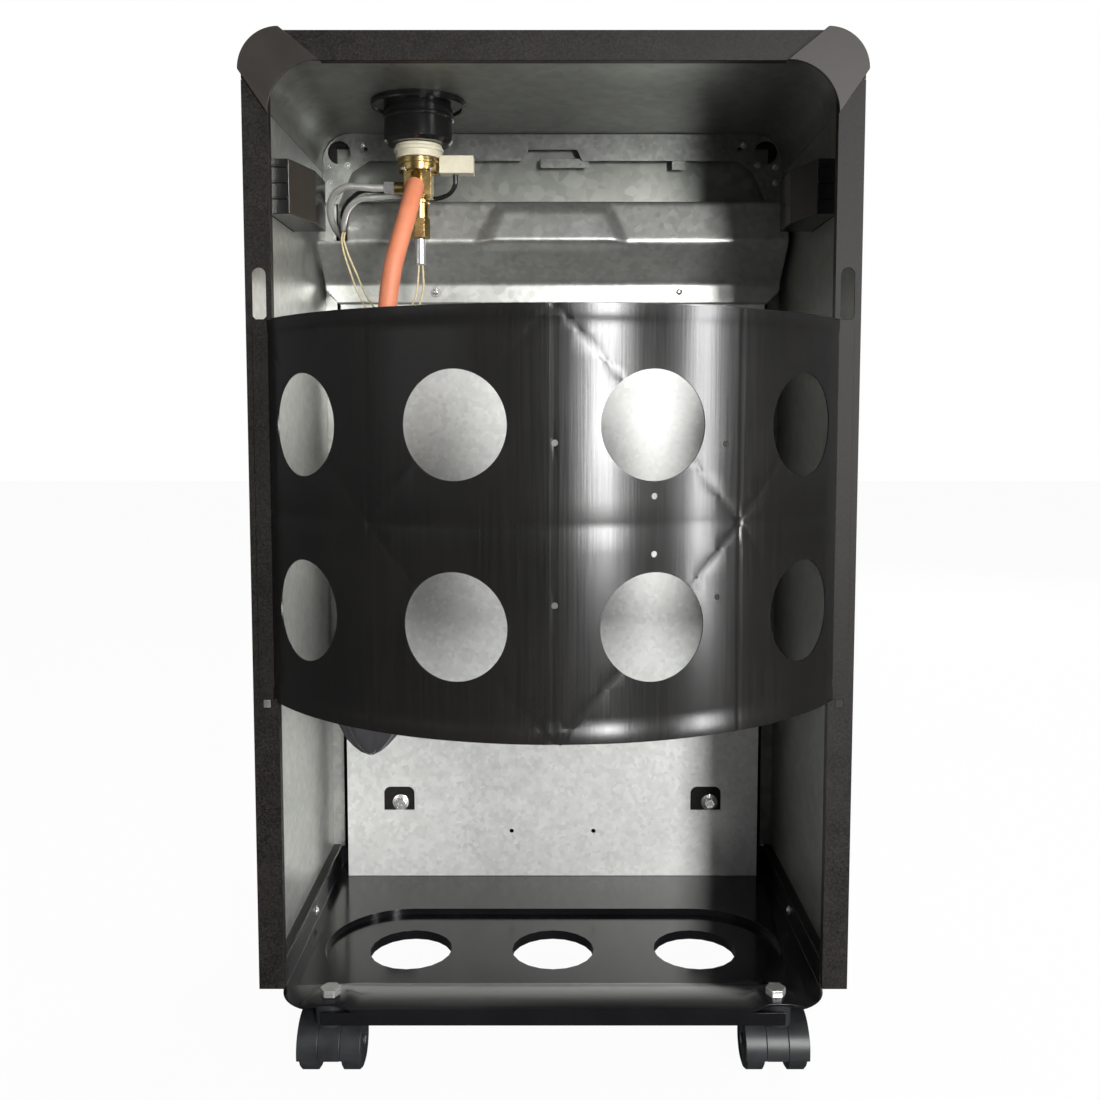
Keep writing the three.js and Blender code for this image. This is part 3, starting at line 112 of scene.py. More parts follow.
DETAIL_SHARE = {
    Pattern.CLOUDY: 0.3, Pattern.SPECKLED: 0.55, Pattern.SPANGLED: 0.45,
    Pattern.BRUSHED: 0.5, Pattern.BRAIDED: 0.5, Pattern.DRILLED: 0.7,
}  # how much of a finish's shade is its pattern's own detail, the rest being its patches
PATCH_DETAIL = 4.0  # how rough each noise is
GRAIN_DETAIL = 2.0
BRUSH_DETAIL = 3.0
BRUSH_STRETCH = (1.0, 1.0, 0.02)
BRAID_STRETCH = (1.0, 1.0, 0.6)
CRYSTALS = 4.0  # zinc crystals across one patch


@dataclass(frozen=True)
class Finish:
    """One finish of the heater and the record's slot that it belongs to."""

    name: str
    slot: str
    dark: Colour
    light: Colour
    pattern: Pattern = Pattern.CLOUDY
    patch: float = 30.0  # patches per metre
    grain: float = 900.0  # grains per metre
    relief: float = 0.05  # depth of the grain, in millimetres
    metallic: float = 0.0
    roughness: Flat = (0.4, 0.5)  # at the dark and at the light shades
    specular: float = 0.5
    coat: float = 0.0
    coat_roughness: float = 0.12
    alpha: float = 1.0
    stops: Flat = (0.25, 0.75)  # shades that take the dark and the light colour
    bump: float = 0.6  # strength of the relief

    def material(self) -> bpy.types.Material:
        """Builds the finish's material once.

        Returns:
            The node material, shared by every piece that has the finish.
        """
        made = bpy.data.materials.get(self.name)
        if made:
            return made
        made = bpy.data.materials.new(self.name)
        made.use_nodes = True
        tree = made.node_tree
        shader = tree.nodes["Principled BSDF"]
        for name, value in (
            ("Metallic", self.metallic), ("Specular IOR Level", self.specular),
            ("Coat Weight", self.coat), ("Coat Roughness", self.coat_roughness),
            ("Alpha", self.alpha),
        ):
            shader.inputs[name].default_value = value
        shade, height = self.weave(tree)
        colour = add_node(tree, "ValToRGB", links={"Fac": shade})
        for i, tint in enumerate((self.dark, self.light)):
            colour.color_ramp.elements[i].color = (*tint, 1.0)
            colour.color_ramp.elements[i].position = self.stops[i]
        low, high = self.roughness
        rough = add_node(tree, "MapRange", {"To Min": low, "To Max": high}, {"Value": shade})
        depth = {"Strength": self.bump, "Distance": self.relief * MM}
        bump = add_node(tree, "Bump", depth, {"Height": height})
        tree.links.new(colour.outputs["Color"], shader.inputs["Base Color"])
        tree.links.new(rough.outputs["Result"], shader.inputs["Roughness"])
        tree.links.new(bump.outputs["Normal"], shader.inputs["Normal"])
        return made

    def weave(self, tree: bpy.types.NodeTree) -> tuple[Socket, Socket]:
        """Adds the finish's pattern.

        Args:
            tree: The material's node tree.

        Returns:
            The socket that shades the colour and the socket that gives the relief.
        """
        where = add_node(tree, "TexCoord").outputs["Object"]
        patches = self.cloud(tree, where, self.patch, PATCH_DETAIL)
        detail = relief = self.cloud(tree, where, self.grain, GRAIN_DETAIL)
        if self.pattern is Pattern.SPECKLED:
            detail = self.cells(tree, where, self.grain)
        elif self.pattern is Pattern.SPANGLED:
            detail = self.cells(tree, where, self.patch * CRYSTALS)
        elif self.pattern is Pattern.BRUSHED:
            along = self.stretched(tree, where, BRUSH_STRETCH)
            detail = relief = self.cloud(tree, along, self.grain, BRUSH_DETAIL)
        elif self.pattern is Pattern.BRAIDED:
            along = self.stretched(tree, where, BRAID_STRETCH)
            detail = relief = self.cells(tree, along, self.grain)
        elif self.pattern is Pattern.DRILLED:
            # each hole's middle takes the dark colour: painted shade in the holes, which the bump
            # only dips
            detail = relief = self.holes(tree, where, self.grain)
        mixed = {"Factor": DETAIL_SHARE[self.pattern]}
        shade = add_node(tree, "Mix", mixed, {"A": patches, "B": detail}).outputs["Result"]
        return shade, relief

    def cloud(
        self, tree: bpy.types.NodeTree, where: Socket, scale: float, detail: float
    ) -> Socket:
        """Adds a noise of this scale and detail, and returns its value."""
        values = {"Scale": scale, "Detail": detail}
        return add_node(tree, "TexNoise", values, {"Vector": where}).outputs["Fac"]

    def cells(self, tree: bpy.types.NodeTree, where: Socket, scale: float) -> Socket:
        """Adds uneven cells of this scale and returns their shade."""
        return add_node(tree, "TexVoronoi", {"Scale": scale}, {"Vector": where}).outputs["Color"]

    def holes(self, tree: bpy.types.NodeTree, where: Socket, scale: float) -> Socket:
        """Adds even cells of this scale and returns the distance from their middles, which as a
        shade paints shade into each hole's middle.
        """
        values = {"Scale": scale, "Randomness": 0.0}
        return add_node(tree, "TexVoronoi", values, {"Vector": where}).outputs["Distance"]

    def stretched(self, tree: bpy.types.NodeTree, where: Socket, scale: Point) -> Socket:
        """Scales the coordinates along X, Y and Z and returns them."""
        return add_node(tree, "Mapping", {"Scale": scale}, {"Vector": where}).outputs["Vector"]


POWDER_COAT = Finish(
    "powder_coat_black", "powder_coat", (0.0035, 0.0032, 0.003), (0.017, 0.0145, 0.0125),
    Pattern.SPECKLED, patch=60, grain=900, relief=0.2, roughness=(0.42, 0.58), specular=0.2,
)
CAP_MOULDING = Finish(
    "cap_moulding", "cap_plastic", (0.019, 0.0165, 0.014), (0.030, 0.0255, 0.0215),
    patch=40, grain=1400, relief=0.05, roughness=(0.36, 0.48), specular=0.26,
)
GLOSS_MOULDING = Finish(
    "gloss_black_moulding", "black_plastic", (0.006, 0.006, 0.006), (0.014, 0.014, 0.014),
    patch=50, grain=700, relief=0.02, roughness=(0.14, 0.24),
)
DULL_MOULDING = Finish(
    "dull_black_moulding", "black_plastic", (0.010, 0.010, 0.010), (0.020, 0.020, 0.020),
    patch=50, grain=1500, relief=0.05, roughness=(0.34, 0.46), specular=0.4,
)
TRAY_ENAMEL = Finish(
    "tray_enamel", "enamel", (0.0035, 0.0035, 0.004), (0.008, 0.008, 0.009),
    patch=25, grain=350, relief=0.04, roughness=(0.12, 0.2), specular=0.3, coat=0.06,
)
COVER_ENAMEL = Finish(
    "cover_enamel", "enamel", (0.004, 0.004, 0.004), (0.012, 0.011, 0.010),
    Pattern.BRUSHED, patch=14, grain=700, relief=0.05, roughness=(0.16, 0.3),
)
GALVANISED = Finish(
    "galvanised_sheet", "galvanised", (0.62, 0.625, 0.60), (0.78, 0.785, 0.76),
    Pattern.SPANGLED, patch=60, grain=700, relief=0.02, metallic=0.55, roughness=(0.4, 0.5),
)
# On the right side wall's inside this darker zinc is painted shade: the left wall is the same
# sheet, given the lighter shield zinc.
LINING = Finish(
    "zinc_lining", "galvanised", (0.21, 0.216, 0.195), (0.31, 0.318, 0.288),
    Pattern.SPANGLED, patch=30, grain=600, relief=0.02, metallic=0.7, roughness=(0.34, 0.44),
)
# Also on the left side wall's inside, where this lighter zinc is a painted highlight of the key
# lamp on the same sheet as the darker right wall.
SHIELD_ZINC = Finish(
    "shield_zinc", "galvanised", (0.43, 0.435, 0.41), (0.57, 0.575, 0.545),
    Pattern.SPANGLED, patch=50, grain=700, relief=0.02, metallic=0.8, roughness=(0.32, 0.42),
)
DARK_ZINC = Finish(
    "rail_zinc", "galvanised", (0.24, 0.245, 0.23), (0.36, 0.365, 0.345),
    Pattern.SPANGLED, patch=60, grain=700, relief=0.02, metallic=0.85, roughness=(0.28, 0.4),
)
BRIGHT_STEEL = Finish(
    "bright_zinc_plate", "steel", (0.58, 0.585, 0.57), (0.78, 0.78, 0.76),
    patch=120, grain=1600, relief=0.02, metallic=0.75, roughness=(0.2, 0.32),
)
TURNED_BRASS = Finish(
    "turned_brass", "brass", (0.42, 0.29, 0.11), (0.66, 0.50, 0.22),
    patch=140, grain=1800, relief=0.02, metallic=1.0, roughness=(0.2, 0.34),
)
IVORY_NYLON = Finish(
    "ivory_nylon", "nylon", (0.50, 0.46, 0.34), (0.68, 0.64, 0.50),
    patch=90, grain=900, relief=0.02, roughness=(0.3, 0.42),
)
ORANGE_HOSE = Finish(
    "orange_hose", "hose_rubber", (0.56, 0.17, 0.085), (0.72, 0.26, 0.14),
    patch=60, grain=1300, relief=0.04, roughness=(0.42, 0.56), specular=0.4,
)
TUBE_ALUMINIUM = Finish(
    "tube_aluminium", "aluminium", (0.56, 0.555, 0.53), (0.74, 0.73, 0.70),
    patch=150, grain=1500, relief=0.02, metallic=0.6, roughness=(0.28, 0.4),
)
# Its dark colour sits at each drilled hole's middle: painted shade in the holes, which the mesh
# does not cut.
PLAQUE_CERAMIC = Finish(
    "plaque_ceramic", "ceramic", (0.30, 0.24, 0.17), (0.80, 0.70, 0.55),
    Pattern.DRILLED, patch=40, grain=420, relief=0.5, roughness=(0.75, 0.9), specular=0.2,
)
CABLE_SLEEVE = Finish(
    "cable_sleeve", "cable_black", (0.006, 0.006, 0.006), (0.014, 0.014, 0.015),
    patch=90, grain=900, relief=0.02, roughness=(0.22, 0.34),
)
LEAD_BRAID = Finish(
    "lead_braid", "lead_sleeve", (0.40, 0.31, 0.15), (0.78, 0.68, 0.44),
    Pattern.BRAIDED, patch=200, grain=2600, relief=0.1, roughness=(0.6, 0.75), specular=0.3,
)
BAG_FILM = Finish(
    "bag_film", "bag_film", (0.030, 0.031, 0.035), (0.13, 0.135, 0.145),
    patch=90, grain=260, relief=0.5, roughness=(0.12, 0.26), alpha=0.8,
)
CASTER_MOULDING = Finish(
    "caster_moulding", "caster_plastic", (0.010, 0.0105, 0.011), (0.026, 0.027, 0.029),
    patch=70, grain=1500, relief=0.05, roughness=(0.3, 0.44), specular=0.4,
)


# ---- Mesh makers ----
def piece_of(name: str, mesh: bmesh.types.BMesh, sharp: bool = True) -> bpy.types.Object:
    """Turns a working mesh into a shown object.

    Args:
        name: Name of the piece.
        mesh: The working mesh, in metres. It is freed.
        sharp: Whether its sharp edges shade as edges.

    Returns:
        The new object.
    """
    bmesh.ops.recalc_face_normals(mesh, faces=mesh.faces)
    for face in mesh.faces:
        face.smooth = True
    for edge in mesh.edges:
        if sharp and len(edge.link_faces) == 2 and edge.calc_face_angle(0.0) > SHARP:
            edge.smooth = False
    data = bpy.data.meshes.new(name)
    mesh.to_mesh(data)
    mesh.free()
    made = bpy.data.objects.new(name, data)
    bpy.context.scene.collection.objects.link(made)
    return made


def bevelled(made: bpy.types.Object, width: float, segments: int = 2) -> bpy.types.Object:
    """Rounds an object's sharp edges.

    Args:
        made: The object.
        width: Width of the rounded edges, in millimetres.
        segments: Steps across a rounded edge.

    Returns:
        The object.
    """
    modifier = made.modifiers.new("edge", "BEVEL")
    modifier.width = width * MM
    modifier.segments = segments
    modifier.limit_method = "ANGLE"
    modifier.angle_limit = SHARP
    modifier.harden_normals = True
    return made


def arc(centre: Flat, radius: float, start: float, end: float, steps: int = 24) -> list[Flat]:
    """Points on an arc from one angle to another, in degrees."""
    turns = [math.radians(start + (end - start) * i / steps) for i in range(steps + 1)]
    return [(centre[0] + radius * math.cos(t), centre[1] + radius * math.sin(t)) for t in turns]


def oblong(left: float, right: float, foot: float, head: float) -> list[Flat]:
    """The four corners of an upright oblong."""
    return [(left, foot), (right, foot), (right, head), (left, head)]


def add_prism(
    mesh: bmesh.types.BMesh, plan: Sequence[Flat], axis: str, start: float, end: float
) -> None:
    """Adds an outline drawn out along an axis.

    Args:
        mesh: The working mesh.
        plan: The outline's points, in the two other axes, in millimetres.
        axis: The letter of the axis.
        start: Where the shape starts on it.
        end: Where it ends.
    """
    ends = []
    for level in (start, end):
        ends.append([])
        for a, b in plan:
            place = [a, b]
            place.insert("xyz".index(axis), level)
            ends[-1].append(mesh.verts.new(Vector(place) * MM))
    low, high = ends
    mesh.faces.new(low)
    mesh.faces.new(high)
    for i in range(len(plan)):
        j = (i + 1) % len(plan)
        mesh.faces.new((low[i], low[j], high[j], high[i]))


def add_turned(
    mesh: bmesh.types.BMesh,
    profile: Sequence[Flat],
    centre: Point,
    direction: Point = (0, 0, 1),
    sides: int = 64,
) -> None:
    """Adds a turned shape.

    Args:
        mesh: The working mesh.
        profile: Radius and distance along the axis for each ring, in millimetres.
        centre: Where the axis starts, in millimetres.
        direction: The axis.
        sides: Number of sides.
    """
    tilt = Vector(direction).to_track_quat("Z", "Y").to_matrix().to_4x4()
    place = Matrix.Translation(Vector(centre) * MM) @ tilt
    rings: list[list[bmesh.types.BMVert]] = []
    for radius, along in profile:
        ring = []
        for i in range(sides if radius > 0 else 1):
            turn = 2 * math.pi * i / sides
            corner = Vector((radius * math.cos(turn), radius * math.sin(turn), along))
            ring.append(mesh.verts.new(place @ (corner * MM)))
        rings.append(ring)
    for low, high in zip(rings, rings[1:]):
        for i in range(sides):
            j = (i + 1) % sides
            corners = (
                low[i % len(low)], low[j % len(low)], high[j % len(high)], high[i % len(high)]
            )
            unique = list(dict.fromkeys(corners))
            if len(unique) > 2:
                mesh.faces.new(unique)


def smooth_path(points: Sequence[Vector], steps: int) -> list[Vector]:
    """A smooth curve through points.

    Args:
        points: The points that it passes through.
        steps: Steps between two points.

    Returns:
        The curve's points.
    """
    ends = [points[0] * 2 - points[1], *points, points[-1] * 2 - points[-2]]
    path = [points[0]]
    for p0, p1, p2, p3 in zip(ends, ends[1:], ends[2:], ends[3:]):
        knots = [0.0]
        for a, b in ((p0, p1), (p1, p2), (p2, p3)):
            knots.append(knots[-1] + max((b - a).length, 1e-7) ** 0.5)
        t0, t1, t2, t3 = knots
        for i in range(1, steps + 1):
            t = t1 + (t2 - t1) * i / steps
            a1 = p0.lerp(p1, (t - t0) / (t1 - t0))
            a2 = p1.lerp(p2, (t - t1) / (t2 - t1))
            a3 = p2.lerp(p3, (t - t2) / (t3 - t2))
            b1 = a1.lerp(a2, (t - t0) / (t2 - t0))
            b2 = a2.lerp(a3, (t - t1) / (t3 - t1))
            path.append(b1.lerp(b2, (t - t1) / (t2 - t1)))
    return path


def route(points: Sequence[Point], steps: int = 8) -> list[Vector]:
    """A smooth curve in metres through places given by X, depth and height in millimetres."""
    return smooth_path([spot(*point) for point in points], steps)


def drawn_tube(name: str, path: Sequence[Vector], radius: float) -> bpy.types.Object:
    """A round tube along a path.

    Args:
        name: Name of the piece.
        path: The points of its middle line, in metres.
        radius: Its radius in millimetres.

    Returns:
        A curve object of one open spline.
    """
    curve = bpy.data.curves.new(name, "CURVE")
    curve.dimensions = "3D"
    curve.bevel_depth = radius * MM
    curve.bevel_resolution = 5
    curve.use_fill_caps = True
    spline = curve.splines.new("POLY")
    spline.points.add(len(path) - 1)
    for point, place in zip(spline.points, path):
        point.co = (*place, 1.0)
    spline.use_smooth = True
    made = bpy.data.objects.new(name, curve)
    bpy.context.scene.collection.objects.link(made)
    return made


# ---- Sub-assemblies ----
@dataclass
class SubAssembly:
    """A group of pieces that is built and dressed together."""

    title: str

    def build(self) -> None:
        """Builds the group's pieces."""
        raise NotImplementedError

    def show(
        self,
        made: bpy.types.Object,
        finish: Finish,
        replaces: Iterable[str] = (),
        body: str = "cabinet",
    ) -> bpy.types.Object:
        """Dresses a new piece and ties it to the model.

        Args:
            made: The piece.
            finish: Its finish.
            replaces: The model's nodes that it stands for.
            body: The body that it rides on, where it stands for no node.

        Returns:
            The piece.
        """
        nodes = list(replaces)
        made.data.materials.clear()
        made.data.materials.append(finish.material())
        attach(made, BODY_OF[nodes[0]] if nodes else body)
        if nodes:
            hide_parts(*nodes)
        log.info("%s: %s", self.title, made.name)
        return made

    def dress(self, node: str, finish: Finish) -> None:
        """Gives a node of the model its finish.

        Args:
            node: The node.
            finish: Its finish.
        """
        data = frame["nodes"][node].data
        data.materials.clear()
        data.materials.append(finish.material())
        log.info("%s: %s dressed", self.title, node)

    def line(
        self, made: bpy.types.Object, finish: Finish, inside: Callable[[Vector, Vector], bool]
    ) -> None:
        """Gives a second finish to the faces on a piece's inside.

        Args:
            made: The piece.
            finish: The finish of those faces.
            inside: Tells from a face's middle, in millimetres, and its normal if it is one.
        """
        made.data.materials.append(finish.material())
        for face in made.data.polygons:
            if inside(face.center / MM, face.normal):
                face.material_index = 1

    def screw(
        self, name: str, place: Vector, facing: Point, radius: float, hexagon: bool = False
    ) -> None:
        """Adds a small plated screw with a washer.

        Args:
            name: Name of the screw.
            place: Middle of its seat, in metres.
            facing: The way that its head faces.
            radius: Radius of its head, in millimetres.
            hexagon: Whether the head is a hexagon instead of a dome.
        """
        high = 0.62 * radius  # the dome's height; the washer and the head scale with the radius
        washer = [
            (0, 0.05), (1.45 * radius, 0.05), (1.5 * radius, 0.35), (1.4 * radius, 0.6), (0, 0.6),
        ]
        if hexagon:
            head = [
                (0, 0.7), (radius, 0.7), (radius, high + 1.6), (0.86 * radius, high + 2.2),
                (0.45 * radius, high + 2.2), (0.36 * radius, high + 1.4), (0, high + 1.4),
            ]
        else:
            head = [
                (0, 0.7), (radius, 0.7), (0.96 * radius, 0.4 * high + 0.6),
                (0.7 * radius, 0.85 * high + 0.6), (0.36 * radius, high + 0.6),
                (0.3 * radius, 0.5 * high + 0.6), (0, 0.45 * high + 0.6),
            ]
        mesh = bmesh.new()
        seat = tuple(place / MM)
        add_turned(mesh, washer, seat, facing, 40)
        add_turned(mesh, head, seat, facing, 6 if hexagon else 32)
        self.show(piece_of(name, mesh), BRIGHT_STEEL)

    def soften(
        self, node: str, finish: Finish, width: float = 0.3, segments: int = 2
    ) -> bpy.types.Object:
        """Stands a piece with rounded edges in for a node.

        Args:
            node: The node that gives the shape.
            finish: The piece's finish.
            width: Width of the rounded edges, in millimetres.
            segments: Steps across a rounded edge.

        Returns:
            The new piece.
        """
        mesh = bmesh.new()
        mesh.from_mesh(frame["nodes"][node].data)
        bmesh.ops.remove_doubles(mesh, verts=mesh.verts, dist=2e-6)
        bmesh.ops.dissolve_limit(
            mesh, angle_limit=math.radians(0.4), verts=mesh.verts, edges=mesh.edges,
            use_dissolve_boundaries=False,
        )
        made = piece_of(node + "_shell", mesh)
        return self.show(bevelled(made, width, segments), finish, [node])


@dataclass(frozen=True)
class Lamp:
    """One soft lamp: its place, aim, width and height in metres, and its power in watts."""

    name: str
    place: Point
    aim: Point
    size: Flat
    power: float


@dataclass
class Studio:
    """The pale floor, the soft lamps and the camera of the photograph."""

    lens: float = 36.2  # millimetres
    sensor: float = 36.0
    aside: float = -2.3  # along X
    distance: float = 762.0  # behind the cabinet's rear
    height: float = 479.0
    pitch: float = 4.35  # degrees below level
    shift: float = -0.0409
    sky: Colour = (0.95, 0.97, 1.0)
    sky_light: float = 0.26
    sky_mirrored: float = 0.14
    floor_half: float = 8.0  # metres
    floor_drop: float = 0.0003
    floor_shade: float = 0.86
    floor_seen: float = 0.96  # how much of the seen floor is plain white
    floor_mirrored: float = 0.06
    lamps: tuple[Lamp, ...] = (
        Lamp("key", (0.8, -2.5, 0.75), (0.0, 0.0, 0.42), (0.36, 1.2), 70.0),
        Lamp("strip", (1.9, -1.5, 0.6), (0.0, -0.1, 0.42), (0.3, 1.2), 36.0),
        Lamp("fill", (-1.6, -1.6, 1.0), (0.0, 0.0, 0.4), (1.2, 1.2), 1.5),
        Lamp("far", (1.3, 2.4, 1.3), (0.0, 0.0, 0.4), (1.2, 1.2), 24.0),
        Lamp("top", (0.3, 0.5, 2.1), (0.0, 0.0, 0.5), (1.4, 1.4), 14.0),
    )

    def build(self) -> None:
        """Builds the camera, the lamps, the world and the floor."""
        scene = bpy.context.scene
        scene.view_settings.view_transform = "Standard"
        data = bpy.data.cameras.new("camera")
        data.lens = self.lens
        data.sensor_width = self.sensor
        data.shift_y = self.shift
        camera = bpy.data.objects.new("camera", data)
        camera.location = spot(self.aside, -self.distance, self.height)
        camera.rotation_euler = (math.radians(90.0 - self.pitch), 0.0, 0.0)
        scene.collection.objects.link(camera)
        scene.camera = camera
        for lamp in self.lamps:
            self.hang(lamp)
        self.world(scene)
        self.floor()

    def hang(self, lamp: Lamp) -> None:
        """Hangs a lamp at its place and turns it to its aim.

        Args:
            lamp: The lamp.
        """
        data = bpy.data.lights.new(lamp.name, "AREA")
        data.shape = "RECTANGLE"
        data.size, data.size_y = lamp.size
        data.energy = lamp.power
        hung = bpy.data.objects.new(lamp.name, data)
        hung.location = lamp.place
        aim = Vector(lamp.aim) - Vector(lamp.place)
        hung.rotation_euler = aim.to_track_quat("-Z", "Y").to_euler()
        bpy.context.scene.collection.objects.link(hung)

    def world(self, scene: bpy.types.Scene) -> None:
        """Makes a world that is white where it is seen and soft where it lights.

        Args:
            scene: The scene that takes the world.
        """
        world = bpy.data.worlds.new("studio")
        scene.world = world
        world.use_nodes = True
        tree = world.node_tree
        light = tree.nodes["Background"]
        light.inputs["Color"].default_value = (*self.sky, 1.0)
        light.inputs["Strength"].default_value = self.sky_light
        values = {"Color": (*self.sky, 1.0), "Strength": self.sky_mirrored}
        mirrored = add_node(tree, "Background", values).outputs["Background"]
        values = {"Color": (1.0, 1.0, 1.0, 1.0)}
        white = add_node(tree, "Background", values).outputs["Background"]
        ray = add_node(tree, "LightPath").outputs
        seen = add_node(
            tree, "Math", links={0: ray["Is Camera Ray"], 1: ray["Is Transmission Ray"]}
        )
        seen.operation = "ADD"
        seen.use_clamp = True
        links = {"Fac": ray["Is Glossy Ray"], 1: light.outputs["Background"], 2: mirrored}
        unseen = add_node(tree, "MixShader", links=links).outputs["Shader"]
        links = {"Fac": seen.outputs["Value"], 1: unseen, 2: white}
        shown = add_node(tree, "MixShader", links=links).outputs["Shader"]
        tree.links.new(shown, tree.nodes["World Output"].inputs["Surface"])

    def floor(self) -> None:
        """Lays the pale floor, brighter where it is seen and dim where it is mirrored."""
        mesh = bmesh.new()
        bmesh.ops.create_grid(mesh, x_segments=1, y_segments=1, size=self.floor_half)
        floor = piece_of("floor", mesh)
        floor.location.z = -self.floor_drop
        material = bpy.data.materials.new("pale_floor")
        material.use_nodes = True
        tree = material.node_tree
        shader = tree.nodes["Principled BSDF"]
        shader.inputs["Base Color"].default_value = (*[self.floor_shade] * 3, 1.0)
        shader.inputs["Roughness"].default_value = 0.7
        ray = add_node(tree, "LightPath").outputs
        white = add_node(tree, "Emission", {"Color": (1.0, 1.0, 1.0, 1.0)})
        share = add_node(tree, "Math", links={0: ray["Is Camera Ray"]})
        share.operation = "MULTIPLY"
        share.inputs[1].default_value = self.floor_seen
        links = {
            "Fac": share.outputs["Value"],
            1: shader.outputs["BSDF"],
            2: white.outputs["Emission"],
        }
        seen = add_node(tree, "MixShader", links=links).outputs["Shader"]
        dim = add_node(tree, "Emission", {"Color": (*[self.floor_mirrored] * 3, 1.0)})
        links = {"Fac": ray["Is Glossy Ray"], 1: seen, 2: dim.outputs["Emission"]}
        shown = add_node(tree, "MixShader", links=links).outputs["Shader"]
        tree.links.new(shown, tree.nodes["Material Output"].inputs["Surface"])
        floor.data.materials.append(material)


@dataclass
class GasLine(SubAssembly):
    """The hose with its bagged regulator, the thin tubes, the cable and the two leads."""

    title: str = "gas line"
    hose_radius: float = 7.5
    feed_radius: float = 3.0
    pilot_radius: float = 2.5
    cable_radius: float = 2.0
    lead_radius: float = 0.8
    lead_gap: float = 1.6  # from the control's axis to a lead
    lead_sag: float = 5.0  # how far the second lead's loop hangs below the first's
    control_x: float = -110.0
    control_depth: float = 165.0
    outlet_z: float = 669.9
    fire_depth: float = 240.0
    opening_half: float = 165.0
    feed_beside: float = 14.5  # from the firewall's opening to the feed tube
    pilot_beside: float = 8.7
    cable_beside: float = 21.0
    manifold_depth: float = 253.485
    manifold_z: float = 420.0
    pilot_x: float = -52.0
    pilot_depth: float = 265.0
    pilot_z: float = 428.0
    spark_z: float = 450.0
    regulator_x: float = -147.0
    regulator_depth: float = 117.0
    bag_sides: int = 72
    bag_crush: float = 0.16
    bag_pleat: float = 0.055
    film: float = 0.25
    bag_rings: tuple[Flat, ...] = (
        (209.5, 1.0), (213, 9), (218, 15), (226, 22), (236, 28), (248, 33), (260, 35.5),
        (272, 34), (284, 30), (296, 24), (306, 17), (314, 11.5), (322, 9.6), (327, 10.4),
        (331.5, 12.5),
    )  # height and radius

    def build(self) -> None:
        """Builds the cords first, then the stiff tubes."""
        path = self.hose_path()
        hose = drawn_tube("gas_hose_curve", path, self.hose_radius)
        self.show(hose, ORANGE_HOSE, ["gas_hose"])
        bag = self.bag()
        self.dress("regulator", TUBE_ALUMINIUM)
        lead_a = self.lead_path(-self.lead_gap, 0.0)
        lead_b = self.lead_path(self.lead_gap, self.lead_sag)
        for node, path, radius, finish in (
            ("ignition_cable", self.cable_path(), self.cable_radius, CABLE_SLEEVE),
            ("interrupter_lead_a", lead_a, self.lead_radius, LEAD_BRAID),
            ("interrupter_lead_b", lead_b, self.lead_radius, LEAD_BRAID),
        ):
            cord = self.show(drawn_tube(node + "_curve", path, radius), finish, [node])
        for node, path, radius in (
            ("feed_tube", self.feed_path(), self.feed_radius),
            ("pilot_tube", self.pilot_path(), self.pilot_radius),
        ):
            self.show(drawn_tube(node + "_curve", path, radius), TUBE_ALUMINIUM, [node])

    def length(self, path: Sequence[Vector]) -> float:
        """Length of a path in metres."""
        return sum((b - a).length for a, b in zip(path, path[1:]))

    def hose_path(self) -> list[Vector]:
        """The hose's way from the valve down to the regulator.

        Returns:
            The points of its middle line.
        """
        x, depth = self.regulator_x, self.regulator_depth
        return route((
            (-111, 144, 668), (-111, 141, 665), (-111.8, 133.5, 657.3), (-114.5, 124, 642),
            (-119.2, 117, 622), (-124.5, 112, 600), (-128.5, 110, 573), (-131.5, 109, 540),
            (-134.5, 109, 505), (-138, 109.5, 470), (-141, 111, 435), (-143.5, 113, 400),
            (-145.5, 115, 365), (-146.7, 116.5, 340), (x, depth, 322),
        ), 4)

    def feed_path(self) -> list[Vector]:
        """The feed tube's way from the valve to the manifold.

        Returns:
            The points of its middle line.
        """
        duct = -self.opening_half - self.feed_beside
        behind = self.fire_depth + 12
        depth, z = self.manifold_depth, self.manifold_z
        return route((
            (-130.6, self.control_depth, self.outlet_z), (-140, self.control_depth, self.outlet_z),
            (-147, 165.5, 670), (-158, 169, 671.5), (-172, 176.5, 673), (-184, 187, 669),
            (-190, 198, 659), (-190, 212, 648), (-186, 230, 641),
            (duct - 1.5, self.fire_depth + 6, 635), (duct, behind, 618), (duct, behind, 560),
            (duct, behind, 490), (duct, depth - 1, z + 20), (duct + 4, depth, z + 5),
            (duct + 14, depth, z), (duct + 30, depth, z), (-116.3, depth, z),
        ))

    def pilot_path(self) -> list[Vector]:
        """The pilot tube's way from the valve to the pilot burner.

        Returns:
            The points of its middle line.
        """
        duct = -self.opening_half - self.pilot_beside
        behind = self.fire_depth + 16
        x, depth, z = self.pilot_x, self.pilot_depth, self.pilot_z
        return route((
            (-121.3, self.control_depth + 9.5, self.outlet_z - 3.5), (-134, 174.5, 665.5),
            (-150, 177, 664.5), (-162, 182, 664), (-172, 190, 659), (-178, 200, 651),
            (-181, 212, 643.5), (-180.5, 228, 641), (duct - 1, self.fire_depth + 5, 638),
            (duct, self.fire_depth + 14, 628), (duct, behind, 600), (duct, behind, 530),
            (duct, behind, 470), (duct, self.fire_depth + 17, z + 16), (duct + 2, depth - 4, z + 4),
            (duct + 7, depth, z), (duct + 25, depth, z), (x - 50, depth, z - 4),
            (x - 14, depth, z - 6), (x - 5, depth, z - 4), (x - 0.5, depth, z + 1),
            (x, depth, z + 7), (x, depth, z + 11.55),
        ))

